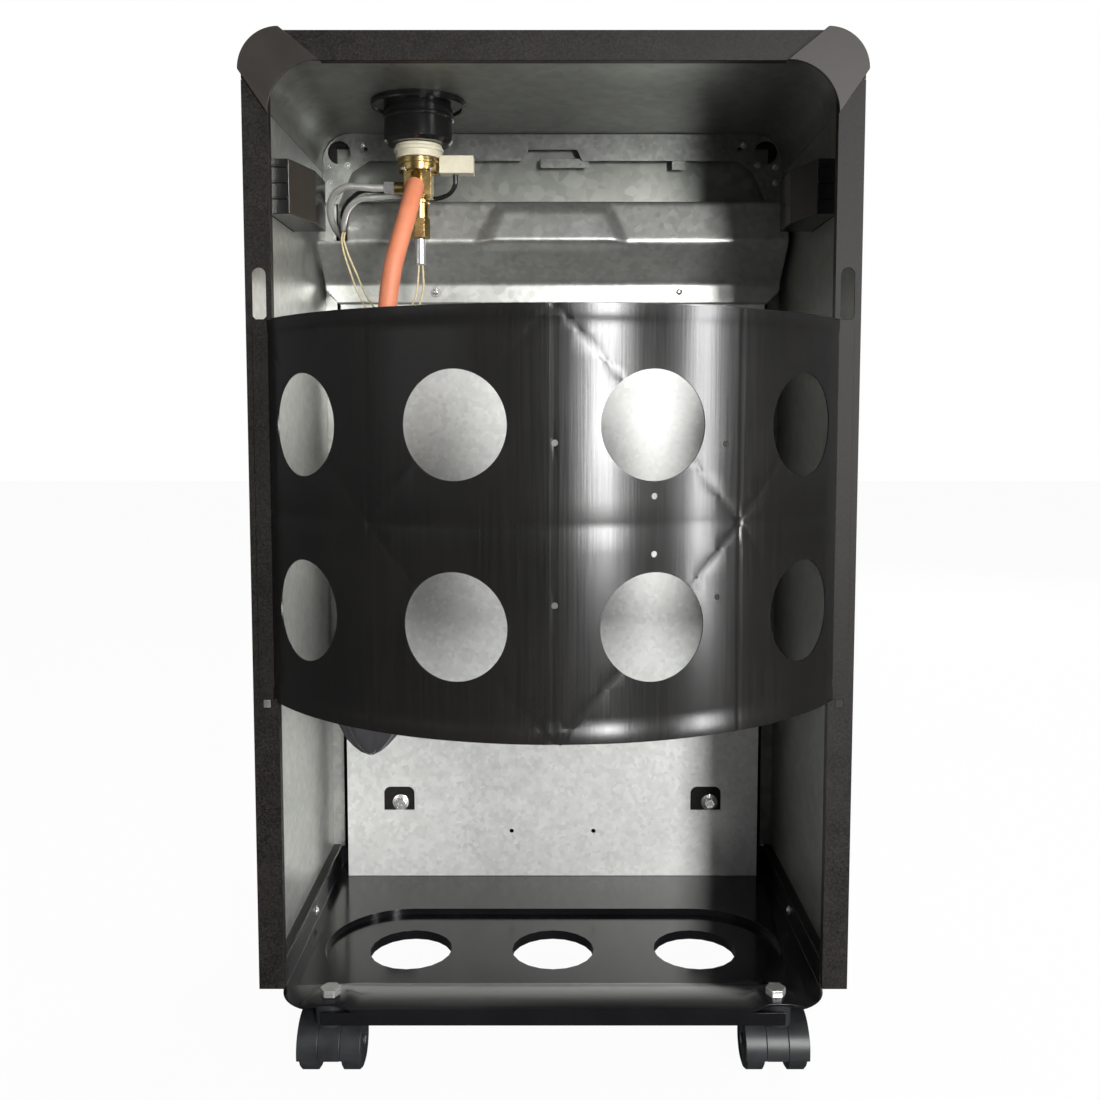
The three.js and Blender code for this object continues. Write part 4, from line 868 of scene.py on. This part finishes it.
    def cable_path(self) -> list[Vector]:
        """The ignition cable's way from the switch to the pilot burner.

        Returns:
            The points of its middle line.
        """
        duct = -self.opening_half - self.cable_beside
        behind = self.fire_depth + 22
        depth, z = self.pilot_depth, self.spark_z
        return route((
            (-80, self.control_depth, 680.4), (-80.2, 165.5, 673), (-84, 169, 667),
            (-94, 177, 664), (-108, 184, 664.5), (-126, 184.5, 667), (-146, 184.5, 671.5),
            (-160, 187, 672), (-170, 194, 668), (-178, 203, 662), (-182, 212, 656),
            (-182, 224, 652), (duct + 5, self.fire_depth, 650),
            (duct + 4, self.fire_depth + 14, 646), (duct + 1, self.fire_depth + 21, 632),
            (duct, behind, 600), (duct, behind, 540), (duct, behind, z + 30),
            (duct + 1.5, depth - 1.5, z + 10), (duct + 7, depth, z + 1.5), (duct + 18, depth, z),
            (-110, depth, z), (-57.3, depth, z),
        ))

    def lead_path(self, shift: float, sag: float) -> list[Vector]:
        """One lead's way from the interrupter to the notch.

        Args:
            shift: How far it lies from the control's axis.
            sag: How far its loop hangs below the first lead's.

        Returns:
            The points of its middle line.
        """
        x = self.control_x
        return route((
            (x + shift, 172, 608.1), (x + shift * 1.3, 172, 600), (-110.5 + shift * 1.6, 172, 590),
            (-114 + shift, 172, 579 - sag), (-124, 175, 570 - sag), (-138, 181, 567 - sag),
            (-152 - shift, 188, 574 - sag), (-163 - shift * 1.5, 194, 588 - sag / 2),
            (-171 - shift * 1.5, 198, 606), (-177 - shift, 199, 622),
            (-180 - shift * 0.6, 201, 634), (-180 - shift * 0.6, 205, 639.3),
            (-180 - shift * 0.6, 208.5, 641),
        ))

    def bag(self) -> bpy.types.Object:
        """The crumpled film bag, gathered at the hose and drawn to a tip below.

        Returns:
            The bag.
        """
        mesh = bmesh.new()
        levels = []
        for height, radius in self.bag_rings:
            level = []
            for i in range(self.bag_sides):
                turn = 2 * math.pi * i / self.bag_sides
                across, along = math.cos(turn), math.sin(turn)
                fold = math.sin(turn * 7 + height * 0.05)
                fold += 0.6 * math.sin(turn * 13 - height * 0.11)
                crease = abs(noise.noise(Vector((across * 2.2, along * 2.2, height * 0.05))))
                out = radius * (1.0 - self.bag_crush * crease)
                out -= self.bag_pleat * radius * (1 + fold / 1.6)
                x = self.regulator_x + out * across
                depth = self.regulator_depth + out * along
                z = height + 2.0 * crease * math.sin(turn * 5)
                level.append(mesh.verts.new(spot(x, depth, z)))
            levels.append(level)
        for low, high in zip(levels, levels[1:]):
            for i in range(self.bag_sides):
                j = (i + 1) % self.bag_sides
                mesh.faces.new((low[i], low[j], high[j], high[i]))
        mesh.faces.new(list(reversed(levels[0])))
        bag = piece_of("regulator_bag_film", mesh, sharp=False)
        bag.modifiers.new("film", "SOLIDIFY").thickness = self.film * MM
        return self.show(bag, BAG_FILM, ["regulator_bag"])


@dataclass
class Cabinet(SubAssembly):
    """The sides, the top, the corner caps and the handle cups.

    A pair of numbers is where a shape starts and ends: in depth for a run, up for a height, and
    from the cabinet's middle for a reach.
    """

    title: str = "cabinet"
    corner: float = 26.0
    cap_arc: float = 35.0
    cap_wall: float = 1.5
    cap_plate: float = 2.2
    cap_skirt: float = 12.0
    cap_bite: float = 0.05  # how far the skirt starts inside the plate
    side_flange: float = 18.0
    top_flange: float = 20.0
    wall: float = 208.0  # a side panel's lined faces lie beyond it
    wall_end: float = 260.0
    lining_run: Flat = (9.0, 262.0)
    joggle_reach: Flat = (207.9, 208.7)
    joggle_height: Flat = (703.5, 711.5)
    joggle_run: Flat = (8.0, 262.0)
    ribs: int = 3
    rib_top: float = 665.5
    rib_pitch: float = 11.5
    rib_half: float = 0.9
    rib_reach: Flat = (194.6, 208.4)
    rib_run: Flat = (64.0, 66.2)

    def build(self) -> None:
        """Builds the sheet metal and its moulded trim."""
        for hand, side in HANDS:
            node = side + "_side_panel"
            panel = self.soften(node, POWDER_COAT, 0.5)
            # The two walls are one sheet: the left inside takes the lighter shield zinc as a
            # painted highlight where the key lamp falls, and the right inside takes the darker
            # lining as painted shade.
            inner = SHIELD_ZINC if hand < 0 else LINING
            self.line(panel, inner, lambda at, out, hand=hand: self.in_the_side(at, out, hand))
            strip = self.bar(
                node + "_joggle", hand, self.joggle_reach, self.joggle_height, self.joggle_run
            )
            self.show(bevelled(strip, 0.2), LINING)
        top = self.soften("top_panel", POWDER_COAT, 0.5)
        self.line(top, LINING, self.under_the_top)
        for hand, side in HANDS:
            node = "corner_cap_" + side
            self.show(self.corner_cap(hand, node), CAP_MOULDING, [node])
        for hand, side in HANDS:
            cup = self.soften("handle_cup_" + side, GLOSS_MOULDING, 0.8, 3)
            self.line(cup, CAP_MOULDING, self.in_the_cup)
            for step in range(self.ribs):
                z = self.rib_top - self.rib_pitch * step
                height = (z - self.rib_half, z + self.rib_half)
                name = f"cup_rib_{side}_{step}"
                rib = self.bar(name, hand, self.rib_reach, height, self.rib_run)
                self.show(bevelled(rib, 0.5, 3), GLOSS_MOULDING)

    def bar(self, name: str, hand: int, reach: Flat, height: Flat, run: Flat) -> bpy.types.Object:
        """A straight bar on one side of the cabinet.

        Args:
            name: Name of the piece.
            hand: -1 on the left, 1 on the right.
            reach: Its faces along X.
            height: Its foot and its head.
            run: Depths of its two ends.

        Returns:
            The bar.
        """
        mesh = bmesh.new()
        plan = oblong(hand * reach[0], hand * reach[1], *height)
        add_prism(mesh, plan, "y", REAR + run[0], REAR + run[1])
        return piece_of(name, mesh)

    def in_the_side(self, at: Vector, out: Vector, hand: int) -> bool:
        """Whether a face of a side panel lies on its galvanised inside.

        Args:
            at: The face's middle, in millimetres.
            out: The face's normal.
            hand: -1 for the left panel, 1 for the right one.

        Returns:
            True on the inside of the wall and on the back of the front flange.
        """
        on_the_wall = out.x * hand < -0.9 and at.x * hand > self.wall
        return on_the_wall or (out.y < -0.9 and at.y > REAR + self.wall_end)

    def in_the_cup(self, at: Vector, out: Vector) -> bool:
        """Whether a face of a handle cup is one of its sloping ends, seen from the rear."""
        return out.y < -0.1 and abs(out.x) > 0.5

    def under_the_top(self, at: Vector, out: Vector) -> bool:
        """Whether a face of the top panel lies on its galvanised inside.

        Args:
            at: The face's middle, in millimetres.
            out: The face's normal.

        Returns:
            True on the faces that look down or inward, between the two rims.
        """
        inward = out.z < -0.1 or out.x * at.x < -0.1 * abs(at.x)
        start, end = self.lining_run
        return inward and abs(out.y) < 0.3 and REAR + start < at.y < REAR + end

    def corner_cap(self, hand: int, node: str) -> bpy.types.Object:
        """One corner cap: a plate with a hollow inner edge and a skirt round the corner.

        Args:
            hand: -1 on the left, 1 on the right.
            node: The node that it stands for.

        Returns:
            The cap.
        """
        centre = (SIDE - self.corner, TOP - self.corner)
        inside = self.corner + LAP
        tip = (SIDE - self.side_flange, TOP - self.top_flange)
        hollow = arc((tip[0] - self.cap_arc, tip[1] - self.cap_arc), self.cap_arc, 0, 90, 40)
        rim = arc(centre, inside + self.cap_wall, 90, 0, 32)
        inner = arc(centre, inside, 0, 90, 32)
        mesh = bmesh.new()
        face = REAR - LAP
        plate = [(hand * x, z) for x, z in [*rim, *hollow]]
        skirt = [(hand * x, z) for x, z in [*rim, *inner]]
        add_prism(mesh, plate, "y", face - self.cap_plate, face)
        add_prism(mesh, skirt, "y", face - self.cap_bite, REAR + self.cap_skirt)
        return bevelled(piece_of(node + "_moulding", mesh), 0.7, 3)


@dataclass
class BottleCover(SubAssembly):
    """The curved band with its eight round windows and the four hooks that carry it."""

    title: str = "bottle cover"
    radius: float = 231.0
    half_angle: float = 58.0
    bottom: float = 284.5
    height: float = 263.5
    sheet: float = 0.9
    strips: int = 150  # facets along the arc
    rows: int = 16
    window: float = 67.0
    inner_window: float = 61.5
    outer_window: float = 183.0
    row_height: float = 131.0
    row_pitch: float = 122.0
    hole: float = 2.0  # radius of a small hole
    holes: tuple[Flat, ...] = (
        (0.5, 466.0), (0.5, 369.0), (61.5, 434.0), (61.5, 399.0), (105.0, 370.5), (110.0, 465.0),
    )  # along the arc and up
    set_in: float = 0.2  # the plain band, inside the radius
    crease: float = 0.9
    star: float = 122.0  # middle of a pressed star, along the arc
    star_half: float = 112.0
    groove: float = 0.22
    groove_half: float = 2.6
    hem: float = 8.0
    hem_rise: float = 0.35
    hem_fall: float = 1.2
    ripple: float = 0.05
    ripple_scale: Flat = (0.11, 0.012)  # ripples per millimetre, along the arc and up
    wave: float = 0.16
    wave_scale: Flat = (0.03, 0.01)
    hook_x: float = 200.5
    hook_height: float = 17.0
    upper_hook: float = 243.5
    lip_inner: float = 6.5  # from the hooks' middle
    lip_outer: float = 4.9
    lip_corner: float = 3.0

    def build(self) -> None:
        """Builds the band, its side lips and its hooks."""
        self.show(self.band(), COVER_ENAMEL, ["bottle_cover"])
        for hand, side in HANDS:
            self.show(self.lip("cover_lip_" + side, hand), POWDER_COAT, body="cover")
            for level, foot in (("lower", self.bottom), ("upper", self.bottom + self.upper_hook)):
                hook = self.hook(f"cover_hook_{side}_{level}", hand, foot)
                self.show(hook, GALVANISED, body="cover")

    def relief(self, along: float, z: float) -> float:
        """How far the band lies inside its radius at a place of its flat blank.

        Args:
            along: The place along the arc, from the band's middle.
            z: Its height.

        Returns:
            The depth that the creases, hems and ripples make there, in millimetres.
        """
        u = abs(abs(along) - self.star) / self.star_half
        v = abs(z - self.bottom - self.height / 2) / (self.height / 2)
        star = self.crease * max(0.0, 1.0 - max(u, v))
        edge = min(z - self.bottom, self.bottom + self.height - z)
        hem = self.hem_rise * max(0.0, min(1.0, 1.0 - (edge - self.hem) / self.hem_fall))
        uneven = 0.0
        for size, (across, up), layer in (
            (self.ripple, self.ripple_scale, 3.0), (self.wave, self.wave_scale, 9.0)
        ):
            uneven += size * noise.noise(Vector((along * across, z * up, layer)))
        pressed = sum(
            self.groove * max(0.0, 1.0 - abs(self.beside(line, abs(along), z)) / self.groove_half)
            for line in self.creases()
        )
        return self.set_in + star + pressed + uneven + (self.hem_rise - hem)

    def creases(self) -> list[tuple[Flat, Flat]]:
        """The pressed creases of the right half.

        Returns:
            A point and a unit normal of each line, on the flat blank.
        """
        rise = self.height / 2 / self.star
        slant = math.hypot(1.0, rise)
        middle = (self.star, self.bottom + self.height / 2)
        return [
            ((0.0, 0.0), (1.0, 0.0)), (middle, (1.0, 0.0)), (middle, (0.0, 1.0)),
            (middle, (rise / slant, 1 / slant)), (middle, (rise / slant, -1 / slant)),
        ]

    def beside(self, line: tuple[Flat, Flat], along: float, z: float) -> float:
        """How far a place of the flat blank lies beside a line, in millimetres."""
        (start, foot), (across, up) = line
        return (along - start) * across + (z - foot) * up

    def band(self) -> bpy.types.Object:
        """The band, bent from a flat blank with its windows and small holes cut.

        Returns:
            The band as a closed sheet.
        """
        half = math.radians(self.half_angle) * self.radius
        mesh = self.blank(half)
        for i in range(1, self.strips):
            self.score(mesh, (-half + 2 * half * i / self.strips, 0, 0), (1, 0, 0))
        inside = (self.hem, self.hem + self.hem_fall)
        levels = [*inside, *(self.height - level for level in inside)]
        levels += [self.height * i / self.rows for i in range(1, self.rows)]
        for level in levels:
            self.score(mesh, (0, self.bottom + level, 0), (0, 1, 0))
        for (start, foot), (across, up) in self.creases():
            for hand, _ in HANDS:
                for beside in (-self.groove_half, 0.0, self.groove_half):
                    place = (hand * (start + across * beside), foot + up * beside, 0)
                    self.score(mesh, place, (hand * across, up, 0))
        axis = REAR - LAP + (self.radius - SHEET) * math.cos(math.radians(self.half_angle))
        for vert in mesh.verts:
            along, z, _ = vert.co
            out = self.radius - self.relief(along, z)
            turn = along / self.radius
            vert.co = Vector((out * math.sin(turn), axis - out * math.cos(turn), z)) * MM
        made = piece_of("cover_band", mesh, sharp=False)
        face = made.data.polygons[0]
        middle = Vector((0, axis, self.bottom + self.height / 2)) * MM
        if face.normal.dot(face.center - middle) < 0:
            made.data.flip_normals()
        sheet = made.modifiers.new("sheet", "SOLIDIFY")
        sheet.thickness = self.sheet * MM
        sheet.offset = -1.0
        return bevelled(made, 0.25)

    def blank(self, half: float) -> bmesh.types.BMesh:
        """The band's flat blank.

        Args:
            half: Half its length.

        Returns:
            A working mesh in millimetres, with the length along X and the height along Y.
        """
        loops = [oblong(-half, half, self.bottom, self.bottom + self.height)]
        for along in (
            -self.outer_window, -self.inner_window, self.inner_window, self.outer_window
        ):
            for row in (-1, 1):
                z = self.bottom + self.row_height + row * self.row_pitch / 2
                loops.append(arc((along, z), self.window / 2, 0, 355, 71))
        loops += [arc(place, self.hole, 0, 330, 11) for place in self.holes]
        mesh = bmesh.new()
        edges = []
        for loop in loops:
            verts = [mesh.verts.new((along, z, 0.0)) for along, z in loop]
            edges += [mesh.edges.new(pair) for pair in zip(verts, [*verts[1:], verts[0]])]
        bmesh.ops.triangle_fill(mesh, use_beauty=True, edges=edges)
        bmesh.ops.dissolve_limit(
            mesh, angle_limit=0.01, verts=mesh.verts, edges=mesh.edges,
            use_dissolve_boundaries=False,
        )
        return mesh

    def score(self, mesh: bmesh.types.BMesh, place: Point, normal: Point) -> None:
        """Cuts the flat blank's faces along a line, so that it can bend there."""
        everything = [*mesh.verts, *mesh.edges, *mesh.faces]
        bmesh.ops.bisect_plane(mesh, geom=everything, dist=1e-5, plane_co=place, plane_no=normal)

    def hook(self, name: str, hand: int, foot: float) -> bpy.types.Object:
        """One hook: a stem through the keyhole, and its head behind the flange.

        Args:
            name: Name of the hook.
            hand: -1 on the left, 1 on the right.
            foot: Height of its lower edge.

        Returns:
            The hook.
        """
        mesh = bmesh.new()
        middle = self.hook_x
        for half, start, end in ((2.2, -0.4, 5.0), (4.0, 1.5, 2.7)):
            plan = oblong(
                hand * (middle - half), hand * (middle + half), foot, foot + self.hook_height
            )
            add_prism(mesh, plan, "y", REAR + start, REAR + end)
        return bevelled(piece_of(name, mesh), 0.25)

    def lip(self, name: str, hand: int) -> bpy.types.Object:
        """The flat lip along one side of the band, over the flange.

        Args:
            name: Name of the lip.
            hand: -1 on the left, 1 on the right.

        Returns:
            The lip.
        """
        mesh = bmesh.new()
        inner, outer = self.hook_x - self.lip_inner, self.hook_x + self.lip_outer
        top = self.bottom + self.height
        corner = self.lip_corner
        plan = [(inner, self.bottom)]
        plan += arc((outer - corner, self.bottom + corner), corner, -90, 0, 6)
        plan += [*arc((outer - corner, top - corner), corner, 0, 90, 6), (inner, top)]
        plan = [(hand * x, z) for x, z in plan]
        add_prism(mesh, plan, "y", REAR - LAP - SHEET, REAR - LAP)
        return bevelled(piece_of(name, mesh), 0.3)


@dataclass
class Tray(SubAssembly):
    """The base tray and the four casters under it."""

    title: str = "base"
    depth: float = 270.0  # of the cabinet
    wheel: float = 20.0
    wheel_width: float = 15.0
    web: float = 16.0
    web_foot: float = 9.0
    trail: float = 10.0  # from the stem to the axle
    hood_gap: float = 1.2
    hood_wall: float = 2.0
    hood_arc: Flat = (15.0, 190.0)  # where the fender starts and ends, in degrees
    seam: float = 0.01  # between the web and the fender's halves
    neck: float = 11.0
    neck_edge: float = 0.8
    stem_x: float = 163.0
    inset: float = 19.0
    necks: Flat = (58.2, 54.2)  # the necks' tops at the rear and at the front
    screw_place: Point = (200.0, 145.0, 66.0)

    def build(self) -> None:
        """Builds the tray and each caster."""
        self.soften("base_tray", TRAY_ENAMEL, 0.6, 3)
        for hand, side in HANDS:
            x, depth, z = self.screw_place
            self.screw("tray_screw_" + side, spot(hand * x, depth, z), (-hand, 0, 0), 2.6)
        for end, depth, top in (
            ("rear", self.inset, self.necks[0]), ("front", self.depth - self.inset, self.necks[1])
        ):
            for hand, side in HANDS:
                self.caster(f"{end}_{side}", hand * self.stem_x, REAR + depth, top)

    def caster(self, place: str, x: float, y: float, top: float) -> None:
        """Builds one twin-wheel caster.

        Args:
            place: The caster's place in the nodes' names.
            x: Its stem's place along X.
            y: Its stem's place along Y.
            top: Height of its neck's top.
        """
        self.show(self.hood(place, x, y, top), CASTER_MOULDING, ["caster_hood_" + place])
        wide = self.wheel_width
        profile = [
            (3.0, 0), (18.2, 0), (20, 1.2), (20, wide - 2.4), (18.6, wide - 0.9), (15.6, wide),
            (14.6, wide - 1.0), (5.8, wide - 1.0), (5.0, wide), (3.0, wide), (3.0, 0),
        ]
        for hand, letter in ((-1, "a"), (1, "b")):
            mesh = bmesh.new()
            centre = (x + hand * (self.web / 2 + LAP), y + self.trail, self.wheel)
            add_turned(mesh, profile, centre, (hand, 0, 0), 72)
            bmesh.ops.remove_doubles(mesh, verts=mesh.verts, dist=1e-7)
            wheel = piece_of(f"wheel_{letter}_{place}", mesh)
            self.show(wheel, CASTER_MOULDING, [f"caster_wheel_{letter}_{place}"])
        self.dress("caster_axle_" + place, BRIGHT_STEEL)
        self.soften("caster_bolt_" + place, BRIGHT_STEEL, 0.5)

    def hood(self, place: str, x: float, y: float, top: float) -> bpy.types.Object:
        """One caster's hood: the web, the fender over both wheels and the neck.

        Args:
            place: The caster's place in the nodes' names.
            x: Its stem's place along X.
            y: Its stem's place along Y.
            top: Height of its neck's top.

        Returns:
            The hood.
        """
        axle = (y + self.trail, self.wheel)
        inner = self.wheel + self.hood_gap
        outer = inner + self.hood_wall
        start, end = self.hood_arc
        rim = arc(axle, outer, start, end, 48)
        low = self.wheel - self.web_foot
        web = [*rim, (axle[0] - self.web_foot, low), (axle[0] + self.web_foot, low)]
        shell = [*rim, *arc(axle, inner, end, start, 48)]
        mesh = bmesh.new()
        add_prism(mesh, web, "x", x - self.web / 2, x + self.web / 2)
        near = self.web / 2 + self.seam
        far = self.web / 2 + LAP + self.wheel_width
        add_prism(mesh, shell, "x", x - far, x - near)
        add_prism(mesh, shell, "x", x + near, x + far)
        foot = self.wheel + inner - 1
        neck = [
            (0, foot), (self.neck, foot), (self.neck, top - self.neck_edge),
            (self.neck - self.neck_edge, top), (0, top),
        ]
        add_turned(mesh, neck, (x, y, 0))
        return bevelled(piece_of("hood_" + place, mesh), 0.7, 3)


@dataclass
class InnerSheets(SubAssembly):
    """The firewall, the heat shield, the rail and the corner brackets."""

    title: str = "inner sheets"
    shield_half: float = 203.0
    shield_foot: float = 583.0
    shield_lap: float = 239.1  # depth of its lower flange
    shield_rise: float = 19.0  # height of that flange
    shield_end: float = 263.5
    shield_sheet: float = 1.1
    columns: int = 203
    bend: float = 4.0  # radius of its bends
    bend_steps: int = 6
    step: float = 2.5  # longest step between two points of its outline
    nose_depth: float = 204.0
    nose_z: float = 632.0
    face_top: float = 668.0
    notch: float = 26.0
    notch_foot: float = 634.0
    chamfer: float = 12.0
    emboss_half: float = 68.0
    emboss_depth: float = 5.5
    emboss_side: float = 17.0  # lengths of the pressed panel's slopes
    emboss_foot: float = 8.0
    emboss_head: float = 12.0
    emboss_lean: float = 20.0  # the panel's ends lean in by half a slope over this height
    shield_screws: Flat = (-104.3, 113.2)
    shield_screw: Flat = (238.2, 593.9)  # depth and height
    tab_top: float = 717.0
    tab_run: Flat = (265.3, 266.3)
    bracket_face: float = 262.5
    bracket_screws: tuple[Flat, ...] = (
        (172.5, 728.0), (186.0, 710.0), (202.0, 694.5), (202.0, 708.5),
    )

    def build(self) -> None:
        """Builds the sheets inside the cabinet."""
        self.soften("firewall", GALVANISED, 0.3)
        self.show(self.shield(), SHIELD_ZINC, ["heat_shield"])
        for (_, side), x in zip(HANDS, self.shield_screws):
            self.screw("shield_screw_" + side, spot(x, *self.shield_screw), (0, -1, 0), 3.0)
        self.soften("top_rail", DARK_ZINC, 0.4)
        start, end = self.tab_run
        for name, x, half, foot in (
            ("rail_tab", 11.0, 22.0, 708.5), ("rail_clip", 115.0, 6.5, 707.0)
        ):
            mesh = bmesh.new()
            plan = oblong(x - half, x + half, foot, self.tab_top)
            add_prism(mesh, plan, "y", REAR + start, REAR + end)
            self.show(bevelled(piece_of(name, mesh), 0.3), DARK_ZINC)
        for hand, side in HANDS:
            self.soften("bracket_" + side, DARK_ZINC, 0.4)
            for i, (x, z) in enumerate(self.bracket_screws):
                place = spot(hand * x, self.bracket_face, z)
                self.screw(f"bracket_screw_{side}_{i}", place, (0, -1, 0), 1.9)

    def shield(self) -> bpy.types.Object:
        """The heat shield: a sheet bent over a nose, with a softly pressed panel in its face.

        Returns:
            The shield as a closed sheet.
        """
        line = self.rounded((
            (self.shield_lap, self.shield_foot),
            (self.shield_lap, self.shield_foot + self.shield_rise),
            (self.nose_depth, self.nose_z), (self.nose_depth + 9, self.face_top),
            (self.shield_end, self.face_top + 5),
        ))
        mesh = bmesh.new()
        rows = []
        for depth, z in line:
            half = self.shield_half - max(0.0, self.chamfer - (z - self.shield_foot))
            row = []
            for i in range(self.columns + 1):
                x = -self.shield_half + 2 * self.shield_half * i / self.columns
                x = max(-half, min(half, x))
                row.append(mesh.verts.new(spot(x, depth - self.pressed(x, z), z)))
            rows.append(row)
        notch_end = (self.notch - self.shield_half - 0.5) * MM
        for (low, high), (_, z) in zip(zip(rows, rows[1:]), line[1:]):
            for i in range(self.columns):
                if z <= self.notch_foot or low[i].co.x >= notch_end:
                    mesh.faces.new((low[i], low[i + 1], high[i + 1], high[i]))
        bmesh.ops.remove_doubles(mesh, verts=mesh.verts, dist=1e-6)
        loose = [vert for vert in mesh.verts if not vert.link_faces]
        bmesh.ops.delete(mesh, geom=loose, context="VERTS")
        made = piece_of("heat_shield_sheet", mesh, sharp=False)
        sheet = made.modifiers.new("sheet", "SOLIDIFY")
        sheet.thickness = self.shield_sheet * MM
        sheet.offset = 0.0
        return made

    def pressed(self, x: float, z: float) -> float:
        """How far the panel in the shield's face stands out at a place.

        Args:
            x: The place along X.
            z: Its height.

        Returns:
            The depth of the pressing there, in millimetres.
        """
        side = (self.emboss_half - abs(x)) / self.emboss_side
        side -= 0.5 * max(0.0, (z - self.nose_z) / self.emboss_lean)
        low = (z - self.nose_z + 6.0) / self.emboss_foot
        high = (self.face_top + 1.0 - z) / self.emboss_head
        parts = [max(0.0, min(1.0, part)) for part in (side, low, high)]
        return self.emboss_depth * math.prod(part * part * (3.0 - 2.0 * part) for part in parts)

    def rounded(self, line: Sequence[Flat]) -> list[Flat]:
        """Rounds a bent line's corners and cuts it into short steps.

        Args:
            line: The line's ends and corners, as depth and height.

        Returns:
            The points of the rounded line.
        """
        bent: list[Flat] = [line[0]]
        for before, corner, after in zip(line, line[1:], line[2:]):
            ends = []
            for other in (before, after):
                share = min(self.bend / math.dist(corner, other), 0.45)
                ends.append([c + (o - c) * share for c, o in zip(corner, other)])
            for i in range(self.bend_steps + 1):
                t = i / self.bend_steps
                bent.append(tuple(
                    (1 - t) ** 2 * a + 2 * t * (1 - t) * c + t * t * b
                    for a, c, b in zip(ends[0], corner, ends[1])
                ))
        bent.append(line[-1])
        fine: list[Flat] = [bent[0]]
        for start, end in zip(bent, bent[1:]):
            steps = max(1, round(math.dist(start, end) / self.step))
            for i in range(1, steps + 1):
                fine.append(tuple(a + (b - a) * i / steps for a, b in zip(start, end)))
        return fine


@dataclass
class BurnerSide(SubAssembly):
    """The front frame, the lower panel and the radiant burner behind its guard."""

    title: str = "burner side"
    frame_back: float = 274.0
    bolts: Flat = (-140.8, 145.5)
    bolt: Flat = (241.4, 126.0)  # depth and height

    def build(self) -> None:
        """Builds the burner side."""
        shell = self.soften("front_frame", POWDER_COAT, 0.8, 3)
        back = REAR + self.frame_back
        self.line(shell, LINING, lambda at, out: out.y < -0.9 and at.y > back)
        self.soften("front_lower_panel", POWDER_COAT, 0.8, 3)
        for (_, side), x in zip(HANDS, self.bolts):
            self.screw("panel_bolt_" + side, spot(x, *self.bolt), (0, -1, 0), 5.0, hexagon=True)
        self.soften("burner_housing", GALVANISED, 0.4)
        for place in ("left", "middle", "right"):
            self.soften("ceramic_plaque_" + place, PLAQUE_CERAMIC, 0.5)
        self.soften("gas_manifold", BRIGHT_STEEL, 0.3)
        self.soften("pilot_burner", TURNED_BRASS, 0.3)
        self.soften("wire_guard", BRIGHT_STEEL, 0.5)


@dataclass
class GasControl(SubAssembly):
    """The control that hangs from the top: cup, knob, spindle, valve, switch and interrupter."""

    title: str = "gas control"
    axis_x: float = -110.0
    axis_depth: float = 165.0
    barrel_depth: float = 172.0  # the interrupter's axis
    screw_beside: float = 11.0
    screw_behind: float = 13.0
    screw_z: float = 683.4

    def build(self) -> None:
        """Builds the gas control."""
        self.soften("control_bezel", GLOSS_MOULDING, 0.4)
        self.ring("bezel_rim", GLOSS_MOULDING, (35.2, 35.6, 37.6, 38.2), (0, -1.6, -1.6, 0), 735.4)
        self.ring("cup_bead", GLOSS_MOULDING, (27.9, 29.2, 29.2, 27.9), (0, -1, -3, -4), 727.0)
        self.soften("control_knob", DULL_MOULDING, 0.5)
        self.dress("valve_spindle", BRIGHT_STEEL)
        self.soften("valve_collar", IVORY_NYLON, 0.5)
        self.soften("valve_body", TURNED_BRASS, 0.5)
        self.ring("valve_flange", TURNED_BRASS, (10.0, 14.5, 14.5, 10.0), (0, 0, -3, -3), 683.5, 6)
        self.ring("valve_bead", TURNED_BRASS, (16.9, 18, 18, 16.9), (0, -0.6, -2.2, -2.8), 690.5)
        self.ring("collar_bead", IVORY_NYLON, (18.9, 20.2, 20.2, 18.9), (0, -0.8, -3, -3.8), 701.5)
        for i, beside in enumerate((-self.screw_beside, self.screw_beside)):
            place = spot(self.axis_x + beside, self.axis_depth - self.screw_behind, self.screw_z)
            self.screw(f"valve_screw_{i}", place, (0, 0, -1), 1.9)
        self.soften("ignition_switch", IVORY_NYLON, 0.6)
        self.soften("tube_nut", BRIGHT_STEEL, 0.5)
        self.soften("interrupter_barrel", TURNED_BRASS, 0.4)
        self.soften("interrupter_tip", BRIGHT_STEEL, 0.6)
        self.ring(
            "barrel_bead", TURNED_BRASS, (6.9, 8.2, 8.2, 6.9), (0, -0.6, -2.6, -3.2), 661.5,
            depth=self.barrel_depth,
        )

    def ring(
        self,
        name: str,
        finish: Finish,
        radii: Sequence[float],
        drops: Sequence[float],
        top: float,
        sides: int = 64,
        depth: float | None = None,
    ) -> None:
        """Adds a ring round an upright axis of the control.

        Args:
            name: Name of the ring.
            finish: Its finish.
            radii: Radius of each of its corners, in millimetres.
            drops: Height of each corner over the ring's top.
            top: Height of the ring's top.
            sides: Number of sides.
            depth: The axis's depth, where it isn't the valve's.
        """
        mesh = bmesh.new()
        profile = list(zip(radii, drops))
        centre = (self.axis_x, REAR + (depth or self.axis_depth), top)
        add_turned(mesh, [*profile, profile[0]], centre, sides=sides)
        bmesh.ops.remove_doubles(mesh, verts=mesh.verts, dist=1e-7)
        self.show(bevelled(piece_of(name, mesh), 0.2), finish)


def main() -> None:
    """Builds the scene in order."""
    logging.basicConfig(level=logging.INFO, format="%(message)s")
    Studio().build()
    for assembly in (
        GasLine(), Cabinet(), BottleCover(), Tray(), InnerSheets(), BurnerSide(), GasControl(),
    ):
        assembly.build()
        log.info("%s done", assembly.title)
    bpy.context.view_layer.update()


if __name__ == "__main__":
    main()
